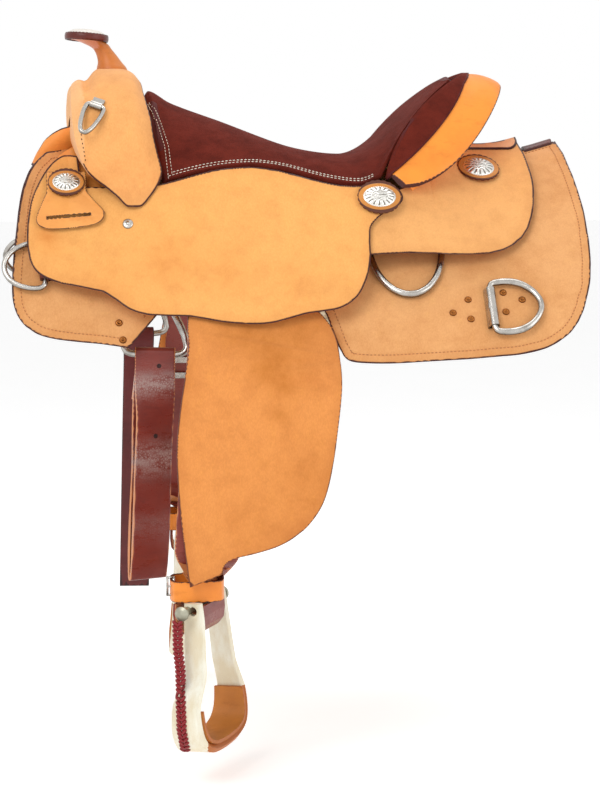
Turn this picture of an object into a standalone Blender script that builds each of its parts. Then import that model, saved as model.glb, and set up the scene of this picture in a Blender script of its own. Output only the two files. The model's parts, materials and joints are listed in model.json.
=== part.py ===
"""Western training saddle, built as its separate pieces: tree, swell, horn, cantle, seat, jockeys,
skirts, rigging, fenders and stirrups.

Metres. The horn points to -X, the cantle to +X, +Z is up, and the rider's left side is -Y. The origin
lies on the midline, over the middle of the horse's back.
"""

import math

import bmesh
import bpy
from mathutils import Matrix, Vector

# Clearances
TOUCH = 0.0004
LEATHER_GAP = 0.0005

# The horse's back: height of the ridge at the middle, and how fast it rises to each end (1/m)
RIDGE_MIDDLE = 0.008
RIDGE_FRONT_RISE = 0.9
RIDGE_REAR_RISE = 0.45
RIDGE_SLOPE_DEG = 20.0
RIDGE_SLOPE_CHANGE_DEG = 26.7
DRAPE_HALF_WIDTH = 0.215
DRAPE_WIDENING = 0.067
DRAPE_HEIGHT = 0.200
DRAPE_END_SLOPE_DEG = 72.0
DRAPE_TOP_REACH = 0.080
DRAPE_END_REACH = 0.090

# The grid that every draped panel shares, so that layers nest
GRID_FRONT = -0.400
GRID_REAR = 0.360
GRID_STEP = 0.050
GRID_ROWS = 9
GRID_END = 1.25
GULLET_OPENING = 0.16
RIDGE_START = 0.02

# Leather and lining thicknesses
SKIRT_THICK = 0.0045
FLEECE_THICK = 0.0115
JOCKEY_THICK = 0.0040
SWELL_THICK = 0.0040
CANTLE_THICK = 0.0040
FENDER_THICK = 0.0045
STIRRUP_LEATHER_THICK = 0.0040
STRAP_THICK = 0.0028
LATIGO_THICK = 0.0035
KEEPER_THICK = 0.0045

# How far the jockeys stand off the horse's back
JOCKEY_EDGE_FRONT = 0.0190
JOCKEY_EDGE_MIDDLE = 0.0260
JOCKEY_EDGE_REAR = 0.0200
JOCKEY_CROWN = 0.055
REAR_JOCKEY_EDGE = 0.0195
REAR_JOCKEY_TAIL = 0.0090
REAR_JOCKEY_CROWN = 0.010

# Tree
BAR_THICK = 0.020
SEAT_PLATE_THICK = 0.004
SEAT_PAD_THICK = 0.013
SEAT_EDGE_THICK = 0.005
CANTLE_ROLL_THICK = 0.010
CANTLE_REST = 0.0039

# Horn
HORN_CAP_RADIUS = 0.0275
HORN_CAP_HEIGHT = 0.009
HORN_CAP_TILT_DEG = 4.2
HORN_BINDING_THICK = 0.0026
HORN_CAP_CENTRE = (-0.2715, 0.1905)
HORN_TOP_FLAT = 0.012
HORN_SIDES = 16

# Hardware
RING_WIRE = 0.0040
BREAST_WIRE = 0.0033
FORK_WIRE = 0.0024
REAR_DEE_HALF = 0.0440
REAR_DEE_DEPTH = 0.0840
SKIRT_DEE_HALF = 0.0330
SKIRT_DEE_DEPTH = 0.0600
BREAST_DEE_HALF = 0.0295
BREAST_DEE_DEPTH = 0.0470
FORK_DEE_HALF = 0.0110
FORK_DEE_DEPTH = 0.0430
RIGGING_BASE = 0.0760
RIGGING_TOP = 0.0220
RIGGING_HEIGHT = 0.0740
RIGGING_CORNER = 0.0100
RIGGING_INWARD = 0.0170
RIGGING_PLATE_THICK = 0.0030
RIGGING_PLATE_LENGTH = 0.0420
RIGGING_PLATE_WIDTH = 0.0440
RIGGING_PLATE_BEND = 0.30
STRAP_WIDTH = 0.0380
STRAP_TAIL = 0.0200
BREAST_STRAP_TAIL = 0.0240
CLIP_WIDTH = 0.0520
CLIP_THICK = 0.0016
CONCHO_RADIUS = 0.0200
CONCHO_FLANGE = 0.0235
CONCHO_HEIGHT = 0.0060
CONCHO_FLANGE_THICK = 0.0020
CONCHO_REST = 0.0028
KEEPER_CONCHO_SHARE = 0.82
CONCHO_SIDES = 14
CONCHO_POST = 0.0055
CONCHO_POST_LENGTH = 0.0022
REAR_CONCHO_POST_LENGTH = 0.0012

# Straps and stirrups
LATIGO_WIDTH = 0.0480
LATIGO_HANG = 0.272
LATIGO_TURN_DEG = 26.0
LATIGO_LEAN = 0.050
LATIGO_LAP = 0.035
BILLET_HANG = 0.350
BILLET_WIDTH = 0.040
BILLET_TURN_DEG = 10.0
BILLET_LEAN = 0.025
FENDER_HINGE = (-0.112, -0.040)
LEATHER_WIDTH = 0.078
LEATHER_END_WIDTH = 0.046
LEATHER_TURN_Z = -0.420
STIRRUP_LEAN_DEG = {-1: 4.0, 1: 0.0}
# The left stirrup hangs turned outwards, the right one nearly straight
STIRRUP_TURN_DEG = {-1: 61.0, 1: 94.0}
BOLT_X = {-1: -0.151, 1: -0.132}
BOLT_OUT = 0.258
BOLT_Z = -0.486
BOLT_RADIUS = 0.0050
BOLT_HEAD_RADIUS = 0.0085
BOLT_HEAD_THICK = 0.004
STIRRUP_NECK_HALF = 0.050
STIRRUP_BRANCH_THICK = 0.010
STIRRUP_TREAD_WIDTH = 0.045
STIRRUP_TREAD_THICK = 0.004
HOBBLE_HEIGHT = 0.024
HOBBLE_THICK = 0.003
HOBBLE_HALF_LENGTH = {-1: 0.031, 1: 0.021}
HOBBLE_Z = -0.4670
HOBBLE_SLACK = {-1: 0.0029, 1: 0.0029}
BUCKLE_LENGTH = 0.062
BUCKLE_HEIGHT = 0.030
BUCKLE_THICK = 0.003
BUCKLE_Z = -0.250

# Outlines seen from the side, (x, z). A third value marks a sharp corner.
SKIRT_OUTLINE = [
    (-0.262, 0.150, 1), (0.334, 0.150, 1), (0.334, 0.060, 1), (0.338, 0.018), (0.341, -0.030),
    (0.337, -0.090), (0.327, -0.127), (0.311, -0.159), (0.285, -0.182), (0.236, -0.197),
    (0.115, -0.205), (0.061, -0.206), (0.030, -0.197), (0.015, -0.173), (-0.005, -0.125),
    (-0.050, -0.095), (-0.120, -0.090), (-0.165, -0.110), (-0.196, -0.148), (-0.232, -0.187, 1),
    (-0.266, -0.182), (-0.306, -0.178), (-0.340, -0.170), (-0.362, -0.150), (-0.369, -0.116),
    (-0.363, -0.055), (-0.357, -0.012), (-0.346, 0.022), (-0.325, 0.046), (-0.289, 0.060),
]
FLEECE_OUTLINE = [
    (-0.250, 0.150, 1), (0.322, 0.150, 1), (0.322, 0.060, 1), (0.327, 0.018), (0.329, -0.030),
    (0.325, -0.090), (0.315, -0.123), (0.300, -0.150), (0.275, -0.171), (0.230, -0.186),
    (0.115, -0.194), (0.063, -0.194), (0.040, -0.183), (0.028, -0.160), (0.010, -0.110),
    (-0.050, -0.070), (-0.120, -0.060), (-0.200, -0.065), (-0.238, -0.110), (-0.262, -0.165),
    (-0.285, -0.167), (-0.325, -0.160), (-0.349, -0.143), (-0.357, -0.114),
    (-0.351, -0.055), (-0.342, -0.015), (-0.325, 0.008), (-0.300, 0.020),
]
SEAT_JOCKEY_OUTLINE = [
    (-0.284, 0.004, 1), (-0.287, 0.041, 1), (-0.304, 0.042), (-0.320, 0.031), (-0.334, 0.011),
    (-0.345, -0.015), (-0.350, -0.048),
    (-0.349, -0.074), (-0.340, -0.096), (-0.312, -0.110), (-0.262, -0.120), (-0.235, -0.138),
    (-0.208, -0.147), (-0.159, -0.149), (-0.124, -0.155), (-0.089, -0.158), (-0.059, -0.156),
    (-0.020, -0.146), (0.016, -0.141), (0.040, -0.128), (0.055, -0.105), (0.062, -0.078),
    (0.065, -0.045), (0.085, -0.027), (0.103, -0.018), (0.108, -0.008), (0.102, 0.002),
    (0.085, 0.008), (0.060, 0.005), (0.030, 0.006), (-0.005, 0.0135), (-0.045, 0.0240),
    (-0.085, 0.0280), (-0.128, 0.023), (-0.165, 0.013), (-0.210, 0.004),
]
REAR_JOCKEY_OUTLINE = [
    (0.046, -0.020, 1), (0.046, -0.079, 1), (0.110, -0.076), (0.162, -0.078), (0.212, -0.077),
    (0.244, -0.067), (0.266, -0.047), (0.279, -0.017), (0.284, 0.010), (0.283, 0.035),
    (0.280, 0.058, 1), (0.280, 0.110, 1), (0.180, 0.110, 1), (0.158, 0.036), (0.128, 0.010),
]
FENDER_OUTLINE = [
    (-0.162, -0.150), (-0.162, -0.180), (-0.168, -0.220), (-0.178, -0.285), (-0.179, -0.341),
    (-0.174, -0.408), (-0.168, -0.459, 1), (-0.129, -0.445, 1), (-0.122, -0.431), (-0.068, -0.417),
    (-0.033, -0.398), (-0.008, -0.367), (0.005, -0.325), (0.013, -0.280), (0.019, -0.230),
    (0.016, -0.192), (0.007, -0.165), (-0.015, -0.140), (-0.050, -0.120), (-0.100, -0.110),
    (-0.140, -0.122),
]
# Back of the fender: height and distance from the midline
FENDER_PROFILE = [
    (-0.015, 0.116), (-0.040, 0.131), (-0.080, 0.157), (-0.120, 0.184), (-0.155, 0.207),
    (-0.200, 0.2300), (-0.300, 0.2500), (-0.400, 0.2760), (-0.500, 0.3050),
]
KEEPER_OUTLINE = [
    (-0.326, 0.022, 1), (-0.278, 0.022, 1), (-0.278, -0.001, 1), (-0.268, -0.013), (-0.257, -0.026),
    (-0.262, -0.037), (-0.275, -0.042), (-0.305, -0.046), (-0.330, -0.045), (-0.339, -0.036),
    (-0.333, -0.018), (-0.326, -0.003, 1),
]
KEEPER_SLIT = [(-0.326, -0.0345), (-0.274, -0.0300), (-0.274, -0.0272), (-0.326, -0.0317)]

# Cover of the fork, from the horn down to one foot: y, z, front x, rear x, inner y, inner z of the rims
SWELL_ROWS = [
    (0.000, 0.1500, -0.292, -0.204, 0.000, 0.1010),
    (0.045, 0.1490, -0.294, -0.204, 0.022, 0.0970),
    (0.085, 0.1410, -0.297, -0.203, 0.041, 0.0870),
    (0.120, 0.1240, -0.298, -0.202, 0.054, 0.0750),
    (0.147, 0.0980, -0.298, -0.200, 0.064, 0.0640),
    (0.160, 0.0680, -0.295, -0.197, 0.082, 0.0520),
    (0.156, 0.0420, -0.288, -0.191, 0.112, 0.0360),
    (0.147, 0.0210, -0.277, -0.187, 0.134, 0.0190),
    (0.141, 0.0040, -0.256, -0.193, 0.1365, 0.0040),
    (0.143, -0.0100, -0.240, -0.203, 0.1385, -0.0090),
    (0.147, -0.0200, -0.230, -0.213, 0.1425, -0.0190),
]
# Wooden fork: outer y, z and inner (gullet) y, z
FORK_PROUD = 0.0014
FORK_ROWS = [
    (0.000, 0.1430, 0.000, 0.0980),
    (0.045, 0.1420, 0.022, 0.0940),
    (0.083, 0.1330, 0.040, 0.0840),
    (0.112, 0.1160, 0.052, 0.0720),
    (0.136, 0.0930, 0.060, 0.0620),
    (0.146, 0.0680, 0.065, 0.0555),
    (0.138, 0.0420, 0.070, 0.0515),
    (0.115, 0.0150, 0.074, 0.0480),
]
# Seat: centre x, centre z, border x, border y, border z, fullness of the crown
SEAT_ROWS = [
    (-0.195, 0.1240, -0.1830, 0.129, 0.0120, 2.0),
    (-0.165, 0.1080, -0.1600, 0.128, 0.0190, 2.1),
    (-0.130, 0.0950, -0.1280, 0.127, 0.0265, 2.3),
    (-0.085, 0.0790, -0.0850, 0.126, 0.0320, 2.6),
    (-0.035, 0.0590, -0.0450, 0.127, 0.0295, 3.0),
    (0.020, 0.0470, -0.0050, 0.131, 0.0190, 3.4),
    (0.068, 0.0470, 0.0350, 0.135, 0.0105, 3.4),
    (0.110, 0.0620, 0.0700, 0.137, 0.0120, 3.0),
    (0.140, 0.0850, 0.1000, 0.126, 0.0380, 2.6),
    (0.163, 0.1090, 0.1350, 0.107, 0.0740, 2.4),
    (0.181, 0.1290, 0.1680, 0.077, 0.1090, 2.2),
    (0.193, 0.1400, 0.1900, 0.045, 0.1330, 2.0),
]
# Tree bars: x, and their edges as shares of the way down the back
BAR_ROWS = [
    (-0.310, 0.30, 0.40),
    (-0.280, 0.20, 0.47),
    (-0.240, 0.16, 0.50),
    (-0.200, 0.16, 0.47),
    (-0.160, 0.17, 0.44),
    (-0.130, 0.18, 0.418),
    (-0.118, 0.18, 0.41),
    (-0.106, 0.18, 0.405),
    (-0.094, 0.18, 0.397),
    (-0.080, 0.18, 0.39),
    (0.000, 0.18, 0.38),
    (0.040, 0.17, 0.37),
    (0.080, 0.16, 0.38),
    (0.120, 0.13, 0.40),
    (0.160, 0.12, 0.43),
    (0.200, 0.12, 0.45),
    (0.240, 0.15, 0.40),
    (0.262, 0.22, 0.34),
]
# The lip on the outer edge of each bar that carries the stirrup leather
BAR_LIP_ROWS = (-0.118, -0.106)
BAR_LIP = 0.0109

LEFT, RIGHT = -1, 1
SIDES = ((LEFT, "left"), (RIGHT, "right"))

TAN = ("rough_leather", (0.75, 0.45, 0.16), 0.85, 0.0)
SMOOTH = ("smooth_leather", (0.80, 0.32, 0.06), 0.45, 0.0)
SUEDE = ("suede", (0.10, 0.022, 0.010), 0.95, 0.0)
BURGUNDY = ("latigo_leather", (0.20, 0.035, 0.028), 0.40, 0.0)
STEEL = ("stainless", (0.62, 0.60, 0.56), 0.22, 1.0)
SILVER = ("silver", (0.85, 0.84, 0.82), 0.18, 1.0)
RAWHIDE = ("rawhide", (0.80, 0.74, 0.58), 0.50, 0.0)
FLEECE = ("fleece", (0.68, 0.62, 0.50), 1.0, 0.0)
PLATE = ("fibreglass", (0.62, 0.56, 0.42), 0.5, 0.0)
WOOD = ("tree_wood", (0.55, 0.38, 0.20), 0.60, 0.0)
DARK = ("edge_leather", (0.06, 0.015, 0.010), 0.60, 0.0)


def smooth_step(t):
    t = min(max(t, 0.0), 1.0)
    return t * t * (3.0 - 2.0 * t)


def rows_at(rows, t):
    """A row of values at t (0 to 1) on a smooth curve through evenly spaced rows."""
    place = min(max(t, 0.0), 1.0) * (len(rows) - 1)
    i = min(int(place), len(rows) - 2)
    f = place - i
    before = rows[max(i - 1, 0)]
    after = rows[min(i + 2, len(rows) - 1)]
    values = []
    for a, b, c, d in zip(before, rows[i], rows[i + 1], after):
        m1, m2 = (c - a) / 2.0, (d - b) / 2.0
        h = 2.0 * (b - c) + m1 + m2
        g = 3.0 * (c - b) - 2.0 * m1 - m2
        values.append(((h * f + g) * f + m1) * f + b)
    return values


def smooth_outline(points, per_span=2):
    """A closed curve through the points, straight only between two marked corners."""
    count = len(points)
    flat = [Vector(p[:2]) for p in points]
    corner = [len(p) == 3 for p in points]
    found = []
    for i in range(count):
        p0, p1, p2, p3 = (flat[(i + k - 1) % count] for k in range(4))
        c1, c2 = corner[i], corner[(i + 1) % count]
        m1 = p2 - p1 if c1 else (p2 - p0) / 2.0
        m2 = p2 - p1 if c2 else (p3 - p1) / 2.0
        steps = 1 if c1 and c2 else per_span
        for k in range(steps):
            f = k / steps
            h = 2.0 * (p1 - p2) + m1 + m2
            g = 3.0 * (p2 - p1) - 2.0 * m1 - m2
            found.append(((h * f + g) * f + m1) * f + p1)
    return found


def drape_controls(x):
    """Bezier control points (distance from the midline, height) of the back's section at x."""
    rise = RIDGE_FRONT_RISE if x < 0.0 else RIDGE_REAR_RISE
    top = RIDGE_MIDDLE + rise * x * x
    start = math.radians(RIDGE_SLOPE_DEG - RIDGE_SLOPE_CHANGE_DEG * x)
    end = math.radians(DRAPE_END_SLOPE_DEG)
    wide = DRAPE_HALF_WIDTH + DRAPE_WIDENING * x
    low = -DRAPE_HEIGHT
    return (
        Vector((0.0, top)),
        Vector((DRAPE_TOP_REACH * math.cos(start), top - DRAPE_TOP_REACH * math.sin(start))),
        Vector((wide - DRAPE_END_REACH * math.cos(end), low + DRAPE_END_REACH * math.sin(end))),
        Vector((wide, low)),
    )


def drape(x, s, lift):
    """(distance from the midline, height) at s (0 ridge, 1 lower end), lift off the horse's back."""
    a, b, c, d = drape_controls(x)
    if s <= 1.0:
        r = 1.0 - s
        point = a * r**3 + b * 3 * r * r * s + c * 3 * r * s * s + d * s**3
        along = (b - a) * r * r + (c - b) * 2 * r * s + (d - c) * s * s
    else:
        along = d - c
        point = d + along * 3.0 * (s - 1.0)
    along.normalize()
    return point + Vector((-along.y, along.x)) * lift


def crown(s):
    return max((0.87 - s) / 0.57, 0.0) ** 1.9


def seat_jockey_lift(x, s):
    edge = JOCKEY_EDGE_FRONT + (JOCKEY_EDGE_MIDDLE - JOCKEY_EDGE_FRONT) * smooth_step((x + 0.30) / 0.10)
    edge += (JOCKEY_EDGE_REAR - JOCKEY_EDGE_MIDDLE) * smooth_step((x - 0.02) / 0.08)
    return edge + JOCKEY_CROWN * smooth_step((x + 0.36) / 0.26) * crown(s)


def rear_jockey_lift(x, s):
    edge = REAR_JOCKEY_EDGE + (REAR_JOCKEY_TAIL - REAR_JOCKEY_EDGE) * smooth_step((x - 0.17) / 0.10)
    low = edge + REAR_JOCKEY_CROWN * smooth_step(1.0 - s / 0.5)
    under = seat_jockey_lift(x, s) - JOCKEY_THICK - 3.0 * LEATHER_GAP
    share = 1.0 - smooth_step((x - 0.08) / 0.14)
    return low + share * max(under - low, 0.0)


def skirt_lift(x, s):
    return 0.0


def fleece_lift(x, s):
    return -FLEECE_THICK - TOUCH


def keeper_lift(x, s):
    return seat_jockey_lift(x, s) + JOCKEY_THICK + LEATHER_GAP


def row_share(x, k):
    """The s of grid row k: the panels start further from the midline over the gullet."""
    start = RIDGE_START + GULLET_OPENING * smooth_step((-0.17 - x) / 0.12)
    return start + (GRID_END - start) * k / GRID_ROWS


def grid_point(x, row, lift, extra):
    """The same surface as the panels' flat facets show it, at x and a fractional grid row."""
    i = math.floor((x - GRID_FRONT) / GRID_STEP)
    f = (x - GRID_FRONT) / GRID_STEP - i
    k = min(max(math.floor(row), 0), GRID_ROWS - 1)
    g = row - k
    found = Vector((0.0, 0.0))
    for column, share in ((i, 1.0 - f), (i + 1, f)):
        at = GRID_FRONT + GRID_STEP * column
        for line, part in ((k, 1.0 - g), (k + 1, g)):
            s = row_share(at, line)
            found += drape(at, s, lift(at, s) + extra) * share * part
    return found


def row_where(x, value, axis, lift, extra):
    """The grid row where the surface reaches a distance from the midline (axis 0) or a height (1)."""
    low, high = 0.0, float(GRID_ROWS)
    for _ in range(40):
        middle = (low + high) / 2.0
        reached = grid_point(x, middle, lift, extra)[axis]
        if (reached < value) == (axis == 0):
            low = middle
        else:
            high = middle
    return low


def drape_point(x, z, lift, extra, side):
    """World point of a draped surface, raised by extra, at x and height z."""
    u, height = grid_point(x, row_where(x, z, 1, lift, extra), lift, extra)
    return Vector((x, side * u, height))


def height_over(x, y, lift, extra):
    return grid_point(x, row_where(x, abs(y), 0, lift, extra), lift, extra).y


def frame_between(place, first, second):
    """Matrix at a place: X along first, Y towards second as far as square to X, Z their cross."""
    one = first.normalized()
    two = (second - one * second.dot(one)).normalized()
    frame = Matrix((one, two, one.cross(two))).transposed().to_4x4()
    frame.translation = place
    return frame


def surface_frame(x, z, lift, extra, side):
    """Frame on a draped surface with Z pointing away from the saddle."""
    place = drape_point(x, z, lift, extra, side)
    up = drape_point(x, z + 0.012, lift, extra, side) - drape_point(x, z - 0.012, lift, extra, side)
    along = drape_point(x + 0.012, z, lift, extra, side) - drape_point(x - 0.012, z, lift, extra, side)
    return frame_between(place, along * -side, up)


def dee_frame(bar, toe, lift, extra, toe_extra, side):
    """Frame of a dee: origin on its bar, Y towards its toe, Z away from the saddle."""
    place = drape_point(bar[0], bar[1], lift, extra, side)
    reach = drape_point(toe[0], toe[1], lift, toe_extra, side) - place
    frame = surface_frame(bar[0], bar[1], lift, extra, side)
    out = frame.to_3x3().col[2]
    return frame_between(place, reach.cross(out), reach)


def start_scene():
    for item in list(bpy.data.objects):
        bpy.data.objects.remove(item, do_unlink=True)
    for name in ("training_saddle", "cutters"):
        collection = bpy.data.collections.new(name)
        bpy.context.scene.collection.children.link(collection)


def material(look):
    name, colour, rough, metal = look
    found = bpy.data.materials.get(name)
    if found:
        return found
    found = bpy.data.materials.new(name)
    found.use_nodes = True
    shader = found.node_tree.nodes["Principled BSDF"]
    shader.inputs["Base Color"].default_value = (*colour, 1.0)
    shader.inputs["Roughness"].default_value = rough
    shader.inputs["Metallic"].default_value = metal
    return found


def link(item, look=None):
    if look:
        item.data.materials.append(material(look))
        bpy.data.collections["training_saddle"].objects.link(item)
        return item
    item.hide_render = True
    item.display_type = "WIRE"
    bpy.data.collections["cutters"].objects.link(item)
    return item


def solid(name, points, faces, look=None, origin=None, angle_deg=40.0):
    """A closed mesh object with its normals pointing out, its origin at the given world point."""
    start = Vector(origin) if origin else Vector((0.0, 0.0, 0.0))
    shape = bmesh.new()
    made = [shape.verts.new(Vector(p) - start) for p in points]
    for face in faces:
        shape.faces.new([made[i] for i in face])
    bmesh.ops.recalc_face_normals(shape, faces=shape.faces)
    if shape.calc_volume(signed=True) < 0.0:
        bmesh.ops.reverse_faces(shape, faces=shape.faces)
    mesh = bpy.data.meshes.new(name)
    shape.to_mesh(mesh)
    shape.free()
    mesh.shade_smooth()
    mesh.set_sharp_from_angle(angle=math.radians(angle_deg))
    item = bpy.data.objects.new(name, mesh)
    item.location = start
    return link(item, look)


def loft(name, rings, look=None, closed=False, origin=None, angle_deg=40.0):
    """Joins rings of equally many points. Open lofts get end caps, closed ones meet their start.

    Both halves of a ring split their faces along the same diagonals, so that layers nest.
    """
    size = len(rings[0])
    points = [p for ring in rings for p in ring]
    faces = []
    count = len(rings)
    for i in range(count if closed else count - 1):
        j = (i + 1) % count
        for k in range(size):
            n = (k + 1) % size
            a, b, c, d = i * size + k, i * size + n, j * size + n, j * size + k
            faces += [(a, b, c), (a, c, d)] if k < size // 2 else [(b, c, d), (b, d, a)]
    if not closed:
        faces.append(tuple(range(size)))
        faces.append(tuple((count - 1) * size + k for k in range(size)))
    return solid(name, points, faces, look, origin, angle_deg)


def prism(name, outline, near, far):
    """A cutter: the side outline extruded between two distances from the midline."""
    rings = [[(p[0], y, p[1]) for p in outline] for y in (near, far)]
    return loft(name, rings)


def cut(item, cutter, operation="DIFFERENCE"):
    change = item.modifiers.new(cutter.name, "BOOLEAN")
    change.operation = operation
    change.object = cutter
    change.solver = "EXACT"


def draped_panel(name, outline, lift, thick, side, look):
    """A sheet bent over the shared grid and trimmed to its side outline."""
    xs = [p[0] for p in outline]
    zs = [p[1] for p in outline]
    columns = []
    for i in range(round((GRID_REAR - GRID_FRONT) / GRID_STEP) + 1):
        x = GRID_FRONT + GRID_STEP * i
        if min(xs) - GRID_STEP < x < max(xs) + GRID_STEP:
            columns.append(x)
    heights = []
    for k in range(GRID_ROWS + 1):
        heights.append([drape(x, row_share(x, k), lift(x, row_share(x, k))).y for x in columns])
    first = max(k for k in range(GRID_ROWS + 1) if k == 0 or min(heights[k]) > max(zs))
    last = min(k for k in range(GRID_ROWS + 1) if k == GRID_ROWS or max(heights[k]) < min(zs))
    points, faces = [], []
    wide = last - first + 1
    size = wide * len(columns)
    for deep in (0.0, thick):
        for x in columns:
            for k in range(first, last + 1):
                s = row_share(x, k)
                u, z = drape(x, s, lift(x, s) + deep)
                points.append((x, side * u, z))
    for i in range(len(columns) - 1):
        for k in range(wide - 1):
            a, b, c, d = i * wide + k, i * wide + k + 1, (i + 1) * wide + k + 1, (i + 1) * wide + k
            faces += [(a, b, c), (a, c, d), (a + size, c + size, b + size), (a + size, d + size, c + size)]
    border = [i * wide for i in range(len(columns))]
    border += [(len(columns) - 1) * wide + k for k in range(1, wide)]
    border += [i * wide + wide - 1 for i in range(len(columns) - 2, -1, -1)]
    border += list(range(wide - 2, 0, -1))
    for a, b in zip(border, border[1:] + border[:1]):
        faces.append((a, b, b + size, a + size))
    item = solid(name, points, faces, look)
    cut(item, prism(name + "_outline", smooth_outline(outline), side * 0.001, side * 0.320), "INTERSECT")
    return item


def ribbon(name, stations, thick, look, closed=False, origin=None):
    """A strap: at each station a centre, the direction of its width and its width."""
    rings = []
    count = len(stations)
    for i, (centre, across, width) in enumerate(stations):
        before = stations[i - 1][0] if closed or i else centre
        after = stations[(i + 1) % count][0] if closed or i < count - 1 else centre
        here = Vector(centre)
        step_in = here - Vector(before)
        step_out = Vector(after) - here
        along = step_in.normalized() + step_out.normalized()
        side_way = Vector(across).normalized()
        along = (along - side_way * along.dot(side_way)).normalized()
        face = along.cross(side_way)
        spread = 1.0
        if step_in.length > 0.0 and step_out.length > 0.0:
            flat = step_out - side_way * step_out.dot(side_way)
            spread = 1.0 / max(flat.normalized().dot(along), 0.6)
        half, deep = side_way * width / 2.0, face * thick / 2.0 * spread
        rings.append([here - half - deep, here + half - deep, here + half + deep, here - half + deep])
    return loft(name, rings, look, closed, origin)


def ring(name, points, radius, frame, look):
    """A bent rod, closed on itself, in the plane of the frame, whose origin lies on its bar."""
    curve = bpy.data.curves.new(name, "CURVE")
    curve.dimensions = "3D"
    curve.bevel_depth = radius
    curve.bevel_resolution = 2
    spline = curve.splines.new("POLY")
    spline.points.add(len(points) - 1)
    for place, point in zip(spline.points, points):
        place.co = (point[0], point[1], point[2] if len(point) > 2 else 0.0, 1.0)
    spline.use_cyclic_u = True
    item = bpy.data.objects.new(name, curve)
    item.matrix_world = frame
    return link(item, look)


def meshed(item):
    """The same object with its curve made a mesh."""
    bpy.context.view_layer.update()
    graph = bpy.context.evaluated_depsgraph_get()
    mesh = bpy.data.meshes.new_from_object(item.evaluated_get(graph))
    shape = bmesh.new()
    shape.from_mesh(mesh)
    bmesh.ops.remove_doubles(shape, verts=shape.verts, dist=1e-6)
    shape.to_mesh(mesh)
    shape.free()
    name, frame = item.name, item.matrix_world.copy()
    bpy.data.objects.remove(item, do_unlink=True)
    mesh.name = name
    made = bpy.data.objects.new(name, mesh)
    made.matrix_world = frame
    bpy.data.collections["training_saddle"].objects.link(made)
    return made


def dee_points(half, depth, corner, steps=9):
    """Half width, depth and corner of a dee whose bar lies on local X and whose bow points to +Y."""
    points = [(-half + corner, 0.0), (half - corner, 0.0), (half - 0.28 * corner, 0.32 * corner)]
    for i in range(steps + 1):
        turn = math.pi * i / steps
        points.append((half * math.cos(turn), corner + (depth - corner) * math.sin(turn)))
    points.append((-half + 0.28 * corner, 0.32 * corner))
    return points


def loop_strap(name, frame, wire, thick, width, tail, look):
    """A strap folded round a dee's bar, with both layers running away from the dee."""
    reach = wire + TOUCH + thick / 2.0
    lower = -reach
    upper = lower + thick + TOUCH
    path = [(-tail, upper), (-1.45 * reach, upper)]
    for i in range(9):
        turn = math.radians(168.0 - 258.0 * i / 8.0)
        path.append((reach * math.cos(turn), reach * math.sin(turn)))
    path.append((-tail, lower))
    stations = [(frame @ Vector((0.0, y, z)), frame.to_3x3() @ Vector((1, 0, 0)), width) for y, z in path]
    return ribbon(name, stations, thick, look)


def build_bars():
    for side, word in SIDES:
        rings = []
        for x, near, far in BAR_ROWS:
            under, over = [], []
            for i in range(5):
                s = near + (far - near) * i / 4.0
                low = SKIRT_THICK + 2.0 * TOUCH
                high = low + BAR_THICK
                if x > 0.02:
                    high = min(high, rear_jockey_lift(x, s) - 3.0 * LEATHER_GAP)
                if x < -0.20:
                    high = min(high, seat_jockey_lift(x, s) - 3.0 * LEATHER_GAP)
                edge = 0.35 if i in (0, 4) else 0.0
                under.append(drape(x, s, low + edge * (high - low) * 0.5))
                over.append(drape(x, s, high - edge * (high - low)))
            if x in BAR_LIP_ROWS:
                over[-1].x += BAR_LIP
            rings.append([(x, side * u, z) for u, z in under + over[::-1]])
        loft("tree_bar_" + word, rings, WOOD)


def arch_normal(rows, t):
    ahead = rows_at(rows, min(t + 0.02, 1.0))
    back = rows_at(rows, max(t - 0.02, 0.0)) if t > 0.0 else [-ahead[0], ahead[1]]
    along = Vector((ahead[0] - back[0], ahead[1] - back[1])).normalized()
    return Vector((-along.y, along.x))


def build_swell():
    steps = 10
    rings = []
    for i in range(-steps, steps + 1):
        side = -1.0 if i < 0 else 1.0
        y, z, front, rear, inner_y, inner_z = rows_at(SWELL_ROWS, abs(i) / steps)
        inward = Vector((inner_y - y, inner_z - z))
        depth = inward.length
        inward.normalize()
        wide = rear - front
        share = min(depth / 0.05, 1.0)
        low_front, low_rear = 0.012 * share, 0.016 * share
        wall = SWELL_THICK
        section = [
            (front, depth), (front, low_front), (front + 0.14 * wide, 0.15 * low_front),
            (front + 0.5 * wide, 0.0), (rear - 0.2 * wide, 0.1 * low_rear), (rear, low_rear),
            (rear, depth), (rear - wall, depth), (rear - wall, low_rear + 0.6 * wall),
            (rear - 0.22 * wide, wall + 0.1 * low_rear), (front + 0.5 * wide, wall),
            (front + 0.16 * wide, wall + 0.15 * low_front), (front + wall, low_front + 0.6 * wall),
            (front + wall, depth),
        ]
        shift = 0.0
        if z < 0.024:
            for x, deep in section:
                height = z + inward.y * deep
                limit = drape_point(x, height, seat_jockey_lift, JOCKEY_THICK, 1).y + LEATHER_GAP
                shift = max(shift, limit - (y + inward.x * deep))
        ring_points = []
        for x, deep in section:
            ring_points.append((x, side * (y + shift + inward.x * deep), z + inward.y * deep))
        rings.append(ring_points)
    loft("swell_cover", rings, TAN)


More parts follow.
